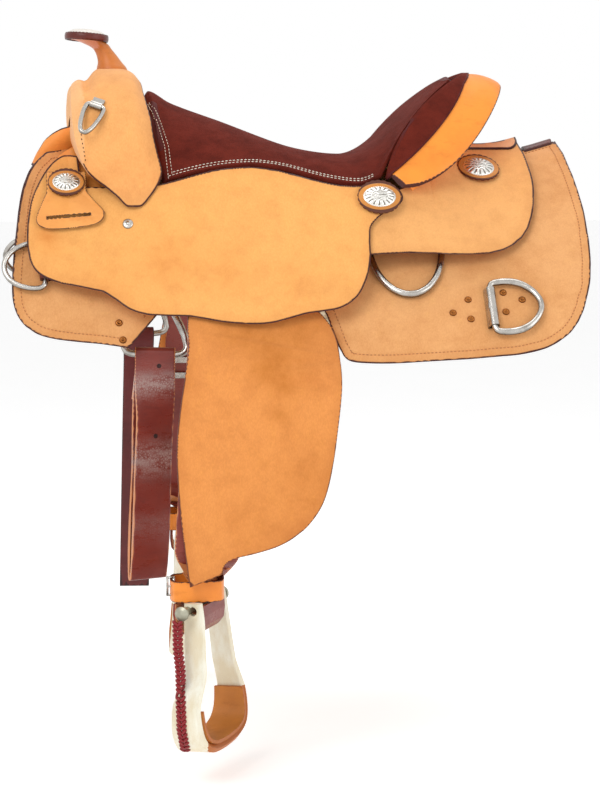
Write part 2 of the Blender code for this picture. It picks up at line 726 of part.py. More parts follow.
def build_fork():
    steps = 10
    rings = []
    for i in range(-steps, steps + 1):
        t = abs(i) / steps
        side = -1.0 if i < 0 else 1.0
        outer_y, outer_z, inner_y, inner_z = rows_at(FORK_ROWS, t)
        cover = rows_at(SWELL_ROWS, t * 0.68)
        front, rear = cover[2] + 0.0085, cover[3] - 0.0105
        outer, inner = Vector((outer_y, outer_z)), Vector((inner_y, inner_z))
        outer += (outer - inner).normalized() * FORK_PROUD
        step = outer.lerp(inner, 0.30)
        section = [
            (front, inner), (front, step), (front + 0.020, outer),
            (rear - 0.020, outer), (rear, step), (rear, inner),
        ]
        rings.append([(x, side * p.x, p.y) for x, p in section])
    item = loft("tree_fork", rings, WOOD)
    for side, word in SIDES:
        rings = []
        for k in range(7):
            x = -0.312 + 0.022 * k
            seat = SKIRT_THICK + BAR_THICK + 2.0 * LEATHER_GAP
            line = [drape(x, 0.10 + 0.07 * j, seat) for j in range(8)]
            line += [(line[-1][0] + 0.01, line[-1][1] - 0.08), (line[0][0], -0.12)]
            rings.append([(x, side * u, z) for u, z in line])
        cut(item, loft("fork_seat_" + word, rings))


def build_horn():
    tilt = math.radians(HORN_CAP_TILT_DEG)
    cap_x, cap_z = HORN_CAP_CENTRE
    inner = HORN_CAP_RADIUS - HORN_BINDING_THICK - TOUCH
    half = HORN_CAP_HEIGHT / 2.0
    base_z = SWELL_ROWS[0][1] + TOUCH
    rows = [
        (-0.2395, base_z, 0.0205, 0.0), (-0.2420, base_z + 0.008, 0.0158, 0.08),
        (-0.2465, base_z + 0.018, 0.0128, 0.30), (-0.2520, base_z + 0.026, 0.0118, 0.45),
        (-0.2590, cap_z - half - 0.004, 0.0150, 0.5),
        (cap_x + 0.003, cap_z - half + 0.0005, inner - 0.004, 1.0),
        (cap_x, cap_z - half + 0.0015, inner, 1.0), (cap_x, cap_z + half, inner, 1.0),
        (cap_x, cap_z + half + 0.0035, 0.78 * inner, 1.0),
        (cap_x, cap_z + half + 0.0052, HORN_TOP_FLAT, 1.0),
    ]
    rings = []
    for x, z, radius, share in rows:
        lean = tilt * share
        circle = []
        for i in range(HORN_SIDES):
            turn = 2.0 * math.pi * i / HORN_SIDES
            out = radius * math.cos(turn)
            circle.append((x + out * math.cos(lean), radius * math.sin(turn), z - out * math.sin(lean)))
        rings.append(circle)
    loft("horn", rings, SMOOTH)
    rings = []
    for i in range(HORN_SIDES):
        turn = 2.0 * math.pi * i / HORN_SIDES
        section = []
        thick = HORN_BINDING_THICK
        for out, up in ((-thick, -half), (-0.3 * thick, -half), (0, -0.5 * half), (0, 0.5 * half),
                        (-0.3 * thick, half), (-thick, half)):
            reach = (HORN_CAP_RADIUS + out) * math.cos(turn)
            x = cap_x + reach * math.cos(tilt) + up * math.sin(tilt)
            z = cap_z - reach * math.sin(tilt) + up * math.cos(tilt)
            section.append((x, (HORN_CAP_RADIUS + out) * math.sin(turn), z))
        rings.append(section)
    loft("horn_cap_binding", rings, DARK, closed=True)


def seat_point(t, across, drop):
    """Point of the seat at t (0 front, 1 top of the cantle) and across (-1 to 1), lowered by drop."""
    cx, cz, bx, by, bz, full = rows_at(SEAT_ROWS, t)
    share = abs(across) ** full
    back = rows_at(SEAT_ROWS, max(t - 0.02, 0.0))
    ahead = rows_at(SEAT_ROWS, min(t + 0.02, 1.0))
    along = Vector((ahead[0] - back[0], ahead[1] - back[1])).normalized()
    down = Vector((along.y, -along.x))
    side_drop = min(abs(across), 1.0) ** 2 * 0.35 * drop
    x = cx + (bx - cx) * share + down.x * drop
    z = cz + (bz - cz) * share + down.y * drop
    y = across * by
    return Vector((x, y - math.copysign(side_drop, across) if across else 0.0, z))


def pad_drop(across):
    return SEAT_EDGE_THICK + (SEAT_PAD_THICK - SEAT_EDGE_THICK) * (1.0 - abs(across) ** 3)


def build_seat():
    steps, half = 13, 5
    shares = [i / half for i in range(-half, half + 1)]
    rings = []
    for i in range(steps + 1):
        top = [seat_point(i / steps, a, 0.0) for a in shares]
        low = [seat_point(i / steps, a, pad_drop(a)) for a in shares]
        rings.append(top + low[::-1])
    loft("seat_cushion", rings, SUEDE)
    inner = shares[1:-1]
    rings = []
    for i in range(1, 10):
        top = [seat_point(i / steps, a, pad_drop(a) + 2.0 * TOUCH) for a in inner]
        low = [seat_point(i / steps, a, pad_drop(a) + 2.0 * TOUCH + SEAT_PLATE_THICK) for a in inner]
        rings.append(top + low[::-1])
    loft("ground_seat", rings, PLATE)


def rim(turn):
    """The front edge of the cantle's top, from the near base (-90) over the top (0) to the far base."""
    c = max(math.cos(turn), 0.0)
    return Vector((0.0890 + 0.120 * c**1.8, 0.1340 * math.sin(turn), 0.0130 + 0.1350 * c**1.5))


def roll_tip(turn):
    c = max(math.cos(turn), 0.0)
    return Vector((0.107 + 0.153 * c**1.4, 0.1480 * math.sin(turn), 0.0080 + 0.1290 * c**2.8))


def over_jockeys(point):
    """The same point, raised where it would lie in the jockeys."""
    x, y, z = point
    height = height_over(x, y, rear_jockey_lift, JOCKEY_THICK)
    if x < 0.115:
        height = max(height, height_over(x, y, seat_jockey_lift, JOCKEY_THICK) + CANTLE_REST / 2.0)
    return Vector((x, y, max(z, height + CANTLE_REST)))


def cantle_base(turn, inset):
    """Where the back of the cantle meets the rear jockeys."""
    c = max(math.cos(turn), 0.0)
    x = 0.104 + 0.092 * c**1.1 - inset
    y = (0.1410 * (1.0 - 0.16 * c) - inset * 0.8) * math.sin(turn)
    return over_jockeys((x, y, -1.0))


def build_cantle():
    steps = 9
    cover, board = [], []
    for i in range(-steps, steps + 1):
        turn = math.radians(86.0) * i / steps
        top, tip = rim(turn), roll_tip(turn)
        base, inner_base = cantle_base(turn, 0.0), cantle_base(turn, CANTLE_THICK + 0.001)
        away = (tip - top).normalized()
        wide = (tip - top).length
        middle = top.lerp(tip, 0.45) + Vector((0, 0, 0.004))
        drop = Vector((0, 0, -1.0)) * min(CANTLE_ROLL_THICK, 0.4 * wide)
        neck = top.lerp(tip, 0.42) + drop * 1.1
        under = [tip + drop * 0.5, tip - away * 0.004 + drop, neck + away * 0.004]
        lifted = [over_jockeys(point) + Vector((0, 0, 0.0012 * (2 - k))) for k, point in enumerate(under)]
        under = [a if a.z > b.z else b for a, b in zip(under, lifted)]
        inside = neck - away * 0.004 + drop * 0.2
        raised = over_jockeys(inside) + Vector((0, 0, 0.0012))
        if abs(i) > steps - 2 and raised.z > inside.z:
            inside = raised
        cover.append([
            top + away * 0.0012, middle, tip - away * 0.003, *under, base, inner_base,
            inside, top + away * 0.0012 + drop * 0.45,
        ])
        rise = Vector((0, 0, 0.003))
        back_top = neck - away * 0.0085 + drop * 1.0
        front_top = top + away * 0.0090 + drop * 1.8
        back_low = cantle_base(turn, CANTLE_THICK + 0.0065) + rise
        front_low = cantle_base(turn, CANTLE_THICK + 0.0165) + rise
        board.append([front_top, back_top, back_low, front_low])
    loft("cantle_cover", cover, SMOOTH)
    loft("tree_cantle", board[3:-3], WOOD)


def build_panels():
    for side, word in SIDES:
        draped_panel("fleece_" + word, FLEECE_OUTLINE, fleece_lift, FLEECE_THICK, side, FLEECE)
        draped_panel("skirt_" + word, SKIRT_OUTLINE, skirt_lift, SKIRT_THICK, side, TAN)
        draped_panel("rear_jockey_" + word, REAR_JOCKEY_OUTLINE, rear_jockey_lift, JOCKEY_THICK, side, TAN)
        draped_panel("seat_jockey_" + word, SEAT_JOCKEY_OUTLINE, seat_jockey_lift, JOCKEY_THICK, side, TAN)
    keeper = draped_panel("latigo_keeper_left", KEEPER_OUTLINE, keeper_lift, KEEPER_THICK, LEFT, SMOOTH)
    cut(keeper, prism("keeper_slit", KEEPER_SLIT, -0.050, -0.300))


def build_concho(name, x, z, lift, extra, side, size, post=CONCHO_POST_LENGTH):
    """A domed silver concho with its flat flange, standing on a panel on its screw post."""
    frame = surface_frame(x, z, lift, extra + CONCHO_REST, side)
    rows = [
        (CONCHO_POST, -post), (CONCHO_POST, 0.0), (CONCHO_FLANGE, 0.0),
        (CONCHO_FLANGE, CONCHO_FLANGE_THICK), (CONCHO_RADIUS, CONCHO_FLANGE_THICK),
        (0.86 * CONCHO_RADIUS, 0.62 * CONCHO_HEIGHT), (0.45 * CONCHO_RADIUS, 0.93 * CONCHO_HEIGHT),
        (0.12 * CONCHO_RADIUS, CONCHO_HEIGHT),
    ]
    rings = []
    for radius, height in rows:
        circle = []
        for i in range(CONCHO_SIDES):
            turn = 2.0 * math.pi * i / CONCHO_SIDES
            out = size * radius
            circle.append(frame @ Vector((out * math.cos(turn), out * math.sin(turn), height)))
        rings.append(circle)
    loft(name, rings, SILVER)


def build_conchos():
    for side, word in SIDES:
        build_concho("concho_seat_" + word, 0.078, -0.009, seat_jockey_lift, JOCKEY_THICK, side, 1.0)
        place = (0.218, 0.027, rear_jockey_lift, JOCKEY_THICK, side, 1.0)
        build_concho("concho_rear_" + word, *place, REAR_CONCHO_POST_LENGTH)
    share = KEEPER_CONCHO_SHARE
    build_concho("concho_keeper", -0.302, 0.009, keeper_lift, KEEPER_THICK, LEFT, share)


def build_dees():
    floor = SKIRT_THICK + LEATHER_GAP
    for side, word in SIDES:
        lift = floor + STRAP_THICK + TOUCH + RING_WIRE
        rest = floor + RING_WIRE + 4.0 * LEATHER_GAP
        frame = dee_frame((0.111, -0.062), (0.111, -0.128), skirt_lift, lift, rest, side)
        bow = dee_points(REAR_DEE_HALF, REAR_DEE_DEPTH, 0.012)
        ring("rear_dee_" + word, bow, RING_WIRE, frame, STEEL)
        strap = (STRAP_THICK, STRAP_WIDTH, STRAP_TAIL, BURGUNDY)
        loop_strap("rear_dee_strap_" + word, frame, RING_WIRE, *strap)
        lift = floor + STRAP_THICK + TOUCH + BREAST_WIRE
        frame = dee_frame((-0.331, -0.089), (-0.372, -0.093), skirt_lift, lift, lift, side)
        bow = dee_points(BREAST_DEE_HALF, BREAST_DEE_DEPTH, 0.009)
        ring("breast_dee_" + word, bow, BREAST_WIRE, frame, STEEL)
        strap = (STRAP_THICK, STRAP_WIDTH, BREAST_STRAP_TAIL, BURGUNDY)
        loop_strap("breast_dee_strap_" + word, frame, BREAST_WIRE, *strap)
        lift = floor + CLIP_THICK + TOUCH + RING_WIRE
        frame = dee_frame((0.207, -0.141), (0.264, -0.138), skirt_lift, lift, lift + TOUCH, side)
        bow = dee_points(SKIRT_DEE_HALF, SKIRT_DEE_DEPTH, 0.006)
        ring("skirt_dee_" + word, bow, RING_WIRE, frame, STEEL)
        loop_strap("skirt_dee_clip_" + word, frame, RING_WIRE, CLIP_THICK, CLIP_WIDTH, 0.008, STEEL)


def build_fork_dees():
    for side, word in SIDES:
        y, z = rows_at(SWELL_ROWS, 0.40)[:2]
        out = arch_normal(SWELL_ROWS, 0.40)
        bar = Vector((0.82, 0.0, -0.42))
        normal = Vector((0.0, side * out.x, out.y))
        bar = (bar - normal * bar.dot(normal)).normalized()
        away = normal.cross(bar)
        if away.z > 0.0:
            bar, away = -bar, -away
        stand = FORK_WIRE + TOUCH + CLIP_THICK + LEATHER_GAP
        frame = frame_between(Vector((-0.266, side * y, z)) + normal * stand, bar, away)
        bow = dee_points(FORK_DEE_HALF, FORK_DEE_DEPTH, 0.004, 7)
        ring("fork_dee_" + word, bow, FORK_WIRE, frame, STEEL)
        loop_strap("fork_dee_clip_" + word, frame, FORK_WIRE, CLIP_THICK, 0.014, 0.012, SMOOTH)


def rigging_frame(side):
    lift = -RING_WIRE - 2.0 * LEATHER_GAP
    bar = lift - RIGGING_INWARD
    return dee_frame((-0.199, -0.196), (-0.196, -0.125), skirt_lift, bar, lift, side)


def build_rigging():
    """Front rigging: a triangular ring whose upper end is held by a plate under the skirt."""
    base, top, corner, high = RIGGING_BASE / 2.0, RIGGING_TOP / 2.0, RIGGING_CORNER, RIGGING_HEIGHT
    right = [
        (base - corner, 0.0), (base - 0.3 * corner, 0.3 * corner), (base, corner),
        (top + 0.004, high - 0.012), (top - 0.001, high - 0.003), (top - 0.006, high),
    ]
    points = [(-x, y) for x, y in right[::-1]] + right
    half = RIGGING_PLATE_WIDTH / 2.0
    upper = high + RIGGING_PLATE_LENGTH
    outline = [(-top, high - 0.002), (top, high - 0.002), (half, high + 0.014)]
    outline += [(half, upper), (-half, upper), (-half, high + 0.014)]
    for side, word in SIDES:
        frame = rigging_frame(side)
        item = meshed(ring("rigging_dee_" + word, points, RING_WIRE, frame, STEEL))
        drop = -0.55 * RIGGING_PLATE_THICK
        rings = []
        for lift in (drop - RIGGING_PLATE_THICK, drop):
            bend = [max(y - high, 0.0) * RIGGING_PLATE_BEND for _, y in outline]
            rings.append([frame @ Vector((x, y, lift - b)) for (x, y), b in zip(outline, bend)])
        cut(item, loft("rigging_plate_" + word, rings), "UNION")


def strap_stations(frame, path, width, turn_deg, lean):
    """Stations of a strap over a bar: path of (distance outwards, height), turning as it falls."""
    bar = frame.translation
    along_bar = frame.to_3x3().col[0].copy()
    across = Vector((along_bar.x, along_bar.y, 0.0)).normalized()
    out = frame.to_3x3().col[2].copy()
    out = (out - across * out.dot(across)).normalized()
    out = Vector((out.x, out.y, 0.0)).normalized()
    stations = []
    for n, z in path:
        turn = Matrix.Rotation(math.radians(turn_deg) * smooth_step((-z - 0.008) / 0.075), 3, "Z")
        fall = Vector((-lean * max(-z - 0.008, 0.0), 0.0, z))
        level = across.lerp(along_bar, 1.0 - smooth_step(-z / 0.050))
        stations.append((bar + turn @ out * n + fall, turn @ level, width))
    return stations


def over_bar(reach, ahead):
    """Path round the top of a bar, from the front (ahead 1) to the back or the other way."""
    path = []
    for i in range(7):
        angle = math.pi * i / 6.0
        path.append((ahead * reach * math.cos(angle), reach * math.sin(angle)))
    return path


def build_hung_straps():
    """The latigo: looped over the lower bar of its dee, folded at the bottom, with its ends lapped."""
    frame = rigging_frame(LEFT)
    reach = RING_WIRE + TOUCH + LATIGO_THICK / 2.0
    lap = reach + LATIGO_THICK + 2.0 * TOUCH
    low = -LATIGO_HANG
    fold = LATIGO_THICK / 2.0 + TOUCH
    middle = reach - fold
    path = [(-lap, -0.020 - LATIGO_LAP), (-lap, -0.020), (-reach, -0.001)]
    path += over_bar(reach, 1.0)[::-1][1:-1]
    path += [(reach, 0.0), (reach, -0.014), (reach, -0.030), (reach, -0.048), (reach, -0.075)]
    path += [(reach, 0.5 * low), (reach, low + fold)]
    for share in (0.7, 0.0, -0.7):
        path.append((middle + share * fold, low + 0.3 * fold if share else low))
    path += [(middle - fold, low + fold), (-0.3 * reach, 0.5 * low), (-reach, -0.075), (-reach, -0.048)]
    path += [(-reach, -0.026)]
    stations = strap_stations(frame, path, LATIGO_WIDTH, LATIGO_TURN_DEG, LATIGO_LEAN)
    ribbon("latigo", stations, LATIGO_THICK, BURGUNDY, origin=frame.translation)
    frame = rigging_frame(RIGHT)
    low = -BILLET_HANG
    near = TOUCH + LATIGO_THICK / 2.0
    hang = [(low, near), (-0.085, near), (-0.055, near), (-0.030, near), (-0.010, reach), (0.0, reach)]
    path = [(-n, z) for z, n in hang]
    path += over_bar(reach, 1.0)[::-1][1:-1]
    path += [(n, z) for z, n in hang[::-1]]
    stations = strap_stations(frame, path, BILLET_WIDTH, -BILLET_TURN_DEG, BILLET_LEAN)
    ribbon("off_billet", stations, LATIGO_THICK, BURGUNDY, origin=frame.translation)


def fender_distance(z):
    for (high, a), (low, b) in zip(FENDER_PROFILE, FENDER_PROFILE[1:]):
        if z >= low:
            return a + (b - a) * (high - z) / (high - low)
    return FENDER_PROFILE[-1][1]


def fender_hinge(side):
    x, z = FENDER_HINGE
    return Vector((x, side * fender_distance(z), z))


def build_fenders():
    for side, word in SIDES:
        rings = []
        for x in (-0.200, 0.040):
            back, face = [], []
            for i, (z, u) in enumerate(FENDER_PROFILE):
                above = FENDER_PROFILE[max(i - 1, 0)]
                below = FENDER_PROFILE[min(i + 1, len(FENDER_PROFILE) - 1)]
                down = Vector((below[1] - above[1], below[0] - above[0])).normalized()
                back.append((x, side * u, z))
                face.append((x, side * (u - down.y * FENDER_THICK), z + down.x * FENDER_THICK))
            rings.append(back + face[::-1])
        item = loft("fender_" + word, rings, TAN, origin=fender_hinge(side))
        outline = smooth_outline(FENDER_OUTLINE)
        cut(item, prism("fender_outline_" + word, outline, side * 0.08, side * 0.32), "INTERSECT")


def stirrup_frame(side):
    """Frame on a stirrup's bolt: X along the bolt to the horse, Y across it to the front, Z up."""
    turn = math.radians(STIRRUP_TURN_DEG[side])
    along = Vector((math.cos(turn), -side * math.sin(turn), 0.0))
    across = Vector((-math.sin(turn), -side * math.cos(turn), 0.0))
    lean = Matrix.Rotation(-math.radians(STIRRUP_LEAN_DEG[side]), 3, "Y")
    frame = Matrix((lean @ along, lean @ across, lean @ Vector((0, 0, 1)))).transposed().to_4x4()
    frame.translation = Vector((BOLT_X[side], side * BOLT_OUT, BOLT_Z))
    return frame


def leather_x(side, z):
    """Midline of the hanging stirrup leather, from the hinge forwards to the bolt."""
    x0, z0 = FENDER_HINGE
    return x0 + (BOLT_X[side] - x0) * max(z0 - z, 0.0) / (z0 - BOLT_Z)


def build_stirrup_leathers():
    z0 = FENDER_HINGE[1]
    thick = STIRRUP_LEATHER_THICK
    for side, word in SIDES:
        frame = stirrup_frame(side)
        bolt = frame.translation
        along, across = (frame.to_3x3().col[i].copy() for i in (0, 1))
        stations = []
        heights = [z for z, _ in FENDER_PROFILE if LEATHER_TURN_Z + 0.005 < z < z0]
        for z in [z0 + 0.024, z0, *heights, LEATHER_TURN_Z]:
            u = fender_distance(z) - LEATHER_GAP - thick / 2.0
            place = Vector((leather_x(side, z), side * u, z))
            width = LEATHER_WIDTH if z < z0 + 0.01 else 0.6 * LEATHER_WIDTH
            stations.append((place, Vector((1, 0, 0)), width))
        reach = BOLT_RADIUS + TOUCH + thick / 2.0
        last = stations[-1][0]
        landing = bolt - across * reach + Vector((0, 0, 0.014))
        inner = []
        for i in range(1, 5):
            share = i / 4.0
            place = last.lerp(landing, share)
            place.y -= side * 0.005 * math.sin(math.pi * share)
            turn = math.radians(STIRRUP_TURN_DEG[side]) * smooth_step((share - 0.10) / 0.90)
            way = Vector((math.cos(turn), -side * math.sin(turn), 0.0))
            width = LEATHER_WIDTH + (LEATHER_END_WIDTH - LEATHER_WIDTH) * share
            stations.append((place, way, width))
            inward = Vector((-math.sin(turn), -side * math.cos(turn), 0.0))
            spread = thick + TOUCH + (2.0 * reach - thick - TOUCH) * smooth_step((share - 0.75) / 0.25)
            if share > 0.3:
                inner.append((place + inward * spread, way, width))
        for i in range(8):
            turn = math.radians(-180.0 * i / 7.0)
            up = Vector((0, 0, 1))
            stations.append((bolt - across * reach * math.cos(turn) + up * reach * math.sin(turn), along,
                             LEATHER_END_WIDTH))
        stations += inner[::-1]
        ribbon("stirrup_leather_" + word, stations, thick, BURGUNDY, origin=fender_hinge(side))


def build_buckles():
    for side, word in SIDES:
        z = BUCKLE_Z
        x = leather_x(side, z)
        u = fender_distance(z) - LEATHER_GAP - STIRRUP_LEATHER_THICK - TOUCH
        slope = (fender_distance(z - 0.02) - fender_distance(z + 0.02)) / 0.04
        half, high = BUCKLE_LENGTH / 2.0, BUCKLE_HEIGHT / 2.0
        inner = ((half - 0.007) / half, (high - 0.008) / high)
        rings = []
        for a, b in ((1, 1), inner):
            for depth in (0.0, BUCKLE_THICK):
                corners = []
                for cx, cz in ((-half, -high), (half, -high), (half, high), (-half, high)):
                    dz = cz * b
                    corners.append((x + cx * a, side * (u - dz * slope - depth), z + dz))
                rings.append(corners)
        order = [rings[0], rings[1], rings[3], rings[2]]
        loft("leather_buckle_" + word, order, STEEL, closed=True, origin=fender_hinge(side))


def build_hobbles():
    for side, word in SIDES:
        turn = math.radians(STIRRUP_TURN_DEG[side])
        thick = STIRRUP_LEATHER_THICK + HOBBLE_THICK / 2.0 + HOBBLE_SLACK[side]
        half = LEATHER_END_WIDTH / 2.0 * math.sin(turn) + thick
        corner = 0.010
        x0 = BOLT_X[side] + 0.001
        stations = []
        for cx, cy, start in ((1, 1, 0), (-1, 1, 90), (-1, -1, 180), (1, -1, 270)):
            for k in range(3):
                angle = math.radians(start + 45.0 * k)
                dx = cx * (HOBBLE_HALF_LENGTH[side] - corner) + corner * math.cos(angle)
                dy = cy * (half - corner) + corner * math.sin(angle)
                place = Vector((x0 + dx, side * (BOLT_OUT + HOBBLE_SLACK[side] / 2.0) + dy, HOBBLE_Z))
                stations.append((place, Vector((0, 0, 1)), HOBBLE_HEIGHT))
        hinge = fender_hinge(side)
        ribbon("hobble_strap_" + word, stations, HOBBLE_THICK, SMOOTH, closed=True, origin=hinge)


# Centre line of half a stirrup: distance from its middle, depth below the bolt, width
STIRRUP_ROWS = [
    (0.0500, 0.009, 0.026),
    (0.0500, 0.000, 0.028),
    (0.0510, -0.015, 0.030),
    (0.0560, -0.045, 0.031),
    (0.0620, -0.080, 0.033),
    (0.0660, -0.115, 0.037),
    (0.0650, -0.140, 0.041),
    (0.0560, -0.156, 0.044),
    (0.0400, -0.1640, 0.045),
    (0.0240, -0.1670, 0.045),
]


def stirrup_ring(frame, place, ahead, width, thick, inset):
    """A rounded flat section of the stirrup, square to its centre line."""
    out = Vector((-ahead.y, ahead.x))
    rings = []
    half, deep = width / 2.0, thick / 2.0
    for w, t in ((-half, 0.0), (-0.82 * half, deep), (0.82 * half, deep), (half, 0.0),
                 (0.82 * half, -deep), (-0.82 * half, -deep)):
        spot = place + out * (t + inset)
        rings.append(frame @ Vector((spot.x, w, spot.y)))
    return rings


def build_stirrups():
    for side, word in SIDES:
        frame = stirrup_frame(side)
        bolt = frame.translation.copy()
        line = [(Vector((-a, b)), w) for a, b, w in STIRRUP_ROWS]
        line += [(Vector((a, b)), w) for a, b, w in STIRRUP_ROWS[::-1]]
        rings = []
        for i, (place, width) in enumerate(line):
            ahead = line[min(i + 1, len(line) - 1)][0] - line[max(i - 1, 0)][0]
            rings.append(stirrup_ring(frame, place, ahead.normalized(), width, STIRRUP_BRANCH_THICK, 0.0))
        item = loft("stirrup_frame_" + word, rings, RAWHIDE, origin=bolt)
        bore = []
        for reach in (-0.09, 0.09):
            circle = []
            for i in range(12):
                turn = 2.0 * math.pi * i / 12
                radius = BOLT_RADIUS + TOUCH
                circle.append(frame @ Vector((reach, radius * math.cos(turn), radius * math.sin(turn))))
            bore.append(circle)
        cut(item, loft("bolt_bore_" + word, bore))
        pad = []
        inset = STIRRUP_BRANCH_THICK / 2.0 + TOUCH + STIRRUP_TREAD_THICK / 2.0
        for place, width in line[5:-5]:
            i = [p for p, _ in line].index(place)
            ahead = (line[i + 1][0] - line[i - 1][0]).normalized()
            out = Vector((-ahead.y, ahead.x))
            spot = place + out * inset
            across = frame.to_3x3() @ Vector((0, 1, 0))
            pad.append((frame @ Vector((spot.x, 0.0, spot.y)), across, STIRRUP_TREAD_WIDTH * width / 0.045))
        ribbon("stirrup_tread_" + word, pad, STIRRUP_TREAD_THICK, SMOOTH, origin=bolt)
        reach = STIRRUP_NECK_HALF + STIRRUP_BRANCH_THICK / 2.0 + 3.0 * TOUCH
        rows = [
            (-reach - BOLT_HEAD_THICK, 0.6 * BOLT_HEAD_RADIUS),
            (-reach - 0.5 * BOLT_HEAD_THICK, BOLT_HEAD_RADIUS), (-reach, BOLT_HEAD_RADIUS),
            (-reach, BOLT_RADIUS), (reach, BOLT_RADIUS), (reach, BOLT_HEAD_RADIUS),
            (reach + BOLT_HEAD_THICK, BOLT_HEAD_RADIUS),
        ]
        rings = []
        for place, radius in rows:
            circle = []
            for i in range(12):
                turn = 2.0 * math.pi * i / 12
                circle.append(frame @ Vector((place, radius * math.cos(turn), radius * math.sin(turn))))
            rings.append(circle)
        loft("stirrup_bolt_" + word, rings, STEEL, origin=bolt)


def build_lacing():
    """The leather lace that joins the two skirts behind the cantle."""
    rings = []
    for x in (0.292, 0.304, 0.316, 0.328):
        ring_points = []
        for y, up in ((-0.012, 0.0006), (-0.006, 0.0006), (0.006, 0.0006), (0.012, 0.0006),
                      (0.012, 0.0030), (0.006, 0.0044), (-0.006, 0.0044), (-0.012, 0.0030)):
            z = height_over(x, y, skirt_lift, SKIRT_THICK)
            ring_points.append((x, y, z + up))
        rings.append(ring_points)
    loft("skirt_lacing", rings, DARK)


def main():
    start_scene()
    build_bars()
    build_fork()
    build_swell()
    build_horn()
    build_seat()
    build_cantle()
    build_panels()
    build_conchos()
    build_dees()
    build_fork_dees()
    build_rigging()
    build_hung_straps()
    build_fenders()
    build_stirrup_leathers()
    build_buckles()
    build_hobbles()
    build_stirrups()
    build_lacing()


main()
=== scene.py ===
import json
import math

import bmesh
import bpy
import numpy as np
from mathutils import Matrix, Vector, noise
from mathutils.bvhtree import BVHTree
from mathutils.kdtree import KDTree

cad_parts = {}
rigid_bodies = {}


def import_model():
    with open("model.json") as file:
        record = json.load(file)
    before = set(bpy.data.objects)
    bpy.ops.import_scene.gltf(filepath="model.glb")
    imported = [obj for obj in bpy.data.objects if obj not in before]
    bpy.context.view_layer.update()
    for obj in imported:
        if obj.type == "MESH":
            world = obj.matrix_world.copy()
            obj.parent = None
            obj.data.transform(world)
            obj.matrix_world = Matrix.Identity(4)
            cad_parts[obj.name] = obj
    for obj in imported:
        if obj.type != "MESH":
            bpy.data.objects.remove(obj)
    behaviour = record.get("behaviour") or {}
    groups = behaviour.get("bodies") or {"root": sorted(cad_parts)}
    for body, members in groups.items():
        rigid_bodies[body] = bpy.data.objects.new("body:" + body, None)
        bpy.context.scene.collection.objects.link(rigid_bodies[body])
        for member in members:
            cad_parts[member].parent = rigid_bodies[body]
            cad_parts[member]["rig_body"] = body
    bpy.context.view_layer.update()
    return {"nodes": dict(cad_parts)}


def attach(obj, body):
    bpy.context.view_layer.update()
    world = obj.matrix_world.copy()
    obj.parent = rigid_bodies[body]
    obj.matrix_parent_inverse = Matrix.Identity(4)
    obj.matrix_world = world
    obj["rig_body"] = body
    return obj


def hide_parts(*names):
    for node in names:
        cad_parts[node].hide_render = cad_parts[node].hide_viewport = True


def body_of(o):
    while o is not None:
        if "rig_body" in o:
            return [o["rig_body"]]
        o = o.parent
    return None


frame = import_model()
SIDES = {"left": -1, "right": 1}  # the sign of Y on each side

# --- Tree ---
# The wooden bars, fork and cantle are bound in rawhide, drawn on wet and nailed, so the skin
# is yellow and glassy with milky streaks. Nearly all of it is under the leather.


def paint(colour):
    """The light that a colour stands for, given as it looks, 0 to 255 a channel."""
    levels = [level / 255 for level in colour]
    return (*(v / 12.92 if v <= 0.04045 else ((v + 0.055) / 1.055) ** 2.4 for v in levels), 1.0)


def node(kind, inputs, tree=None, **settings):
    """A shader node with its settings, and each input linked or set. If no tree is given, it
    joins the tree of its first linked input."""
    linked = [value for value in inputs.values() if isinstance(value, bpy.types.NodeSocket)]
    tree = tree or linked[0].id_data
    made = tree.nodes.new("ShaderNode" + kind)
    for name, value in settings.items():
        setattr(made, name, value)
    for name, value in inputs.items():
        if isinstance(value, bpy.types.NodeSocket):
            tree.links.new(value, made.inputs[name])
        else:
            made.inputs[name].default_value = value
    return made


def place(tree):
    """Where each point is on its piece."""
    return node("TexCoord", {}, tree).outputs["Object"]


def stretched(where, *scale):
    """The same places, scaled along x, y and z."""
    return node("Mapping", {"Vector": where, "Scale": scale}).outputs[0]


def stored(tree, name, kind="Fac"):
    """What a piece holds for each of its points under a name."""
    return node("Attribute", {}, tree, attribute_name=name).outputs[kind]


def spots(where, scale, detail=3.0, rough=0.55):
    """Soft irregular spots, so many to the metre."""
    inputs = {"Vector": where, "Scale": scale, "Detail": detail, "Roughness": rough}
    return node("TexNoise", inputs).outputs[0]


def ramp(value, low, high, to_low=0.0, to_high=1.0):
    """The value, from low..high to to_low..to_high, held at the ends."""
    ends = {"From Min": low, "From Max": high, "To Min": to_low, "To Max": to_high}
    return node("MapRange", {"Value": value, **ends}).outputs[0]


def maths(operation, a, b=0.0):
    """One sum on one or two values."""
    return node("Math", {0: a, 1: b}, operation=operation).outputs[0]


def plus(a, b):
    return maths("ADD", a, b)


def minus(a, b):
    return maths("SUBTRACT", a, b)


def times(a, b):
    return maths("MULTIPLY", a, b)


def mixed(share, a, b, how="MIX"):
    """Colour b over colour a by share."""
    return node("Mix", {0: share, 6: a, 7: b}, data_type="RGBA", blend_type=how).outputs[2]


def effect(name, look, colours, amounts=()):
    """A named node group with inputs of those names. look() draws what it does and gives
    back its colour, roughness and height."""
    tree = bpy.data.node_groups.new(name, "ShaderNodeTree")
    given = {**dict.fromkeys(colours, "Color"), **dict.fromkeys(amounts, "Float")}
    results = {"Base Color": "Color", "Roughness": "Float", "Height": "Float"}
    for way, sockets in (("INPUT", given), ("OUTPUT", results)):
        for socket, kind in sockets.items():
            tree.interface.new_socket(socket, in_out=way, socket_type="NodeSocket" + kind)
    start = tree.nodes.new("NodeGroupInput")
    end = tree.nodes.new("NodeGroupOutput")
    for value, socket in zip(look(tree, start.outputs), end.inputs):
        tree.links.new(value, socket)
    return tree


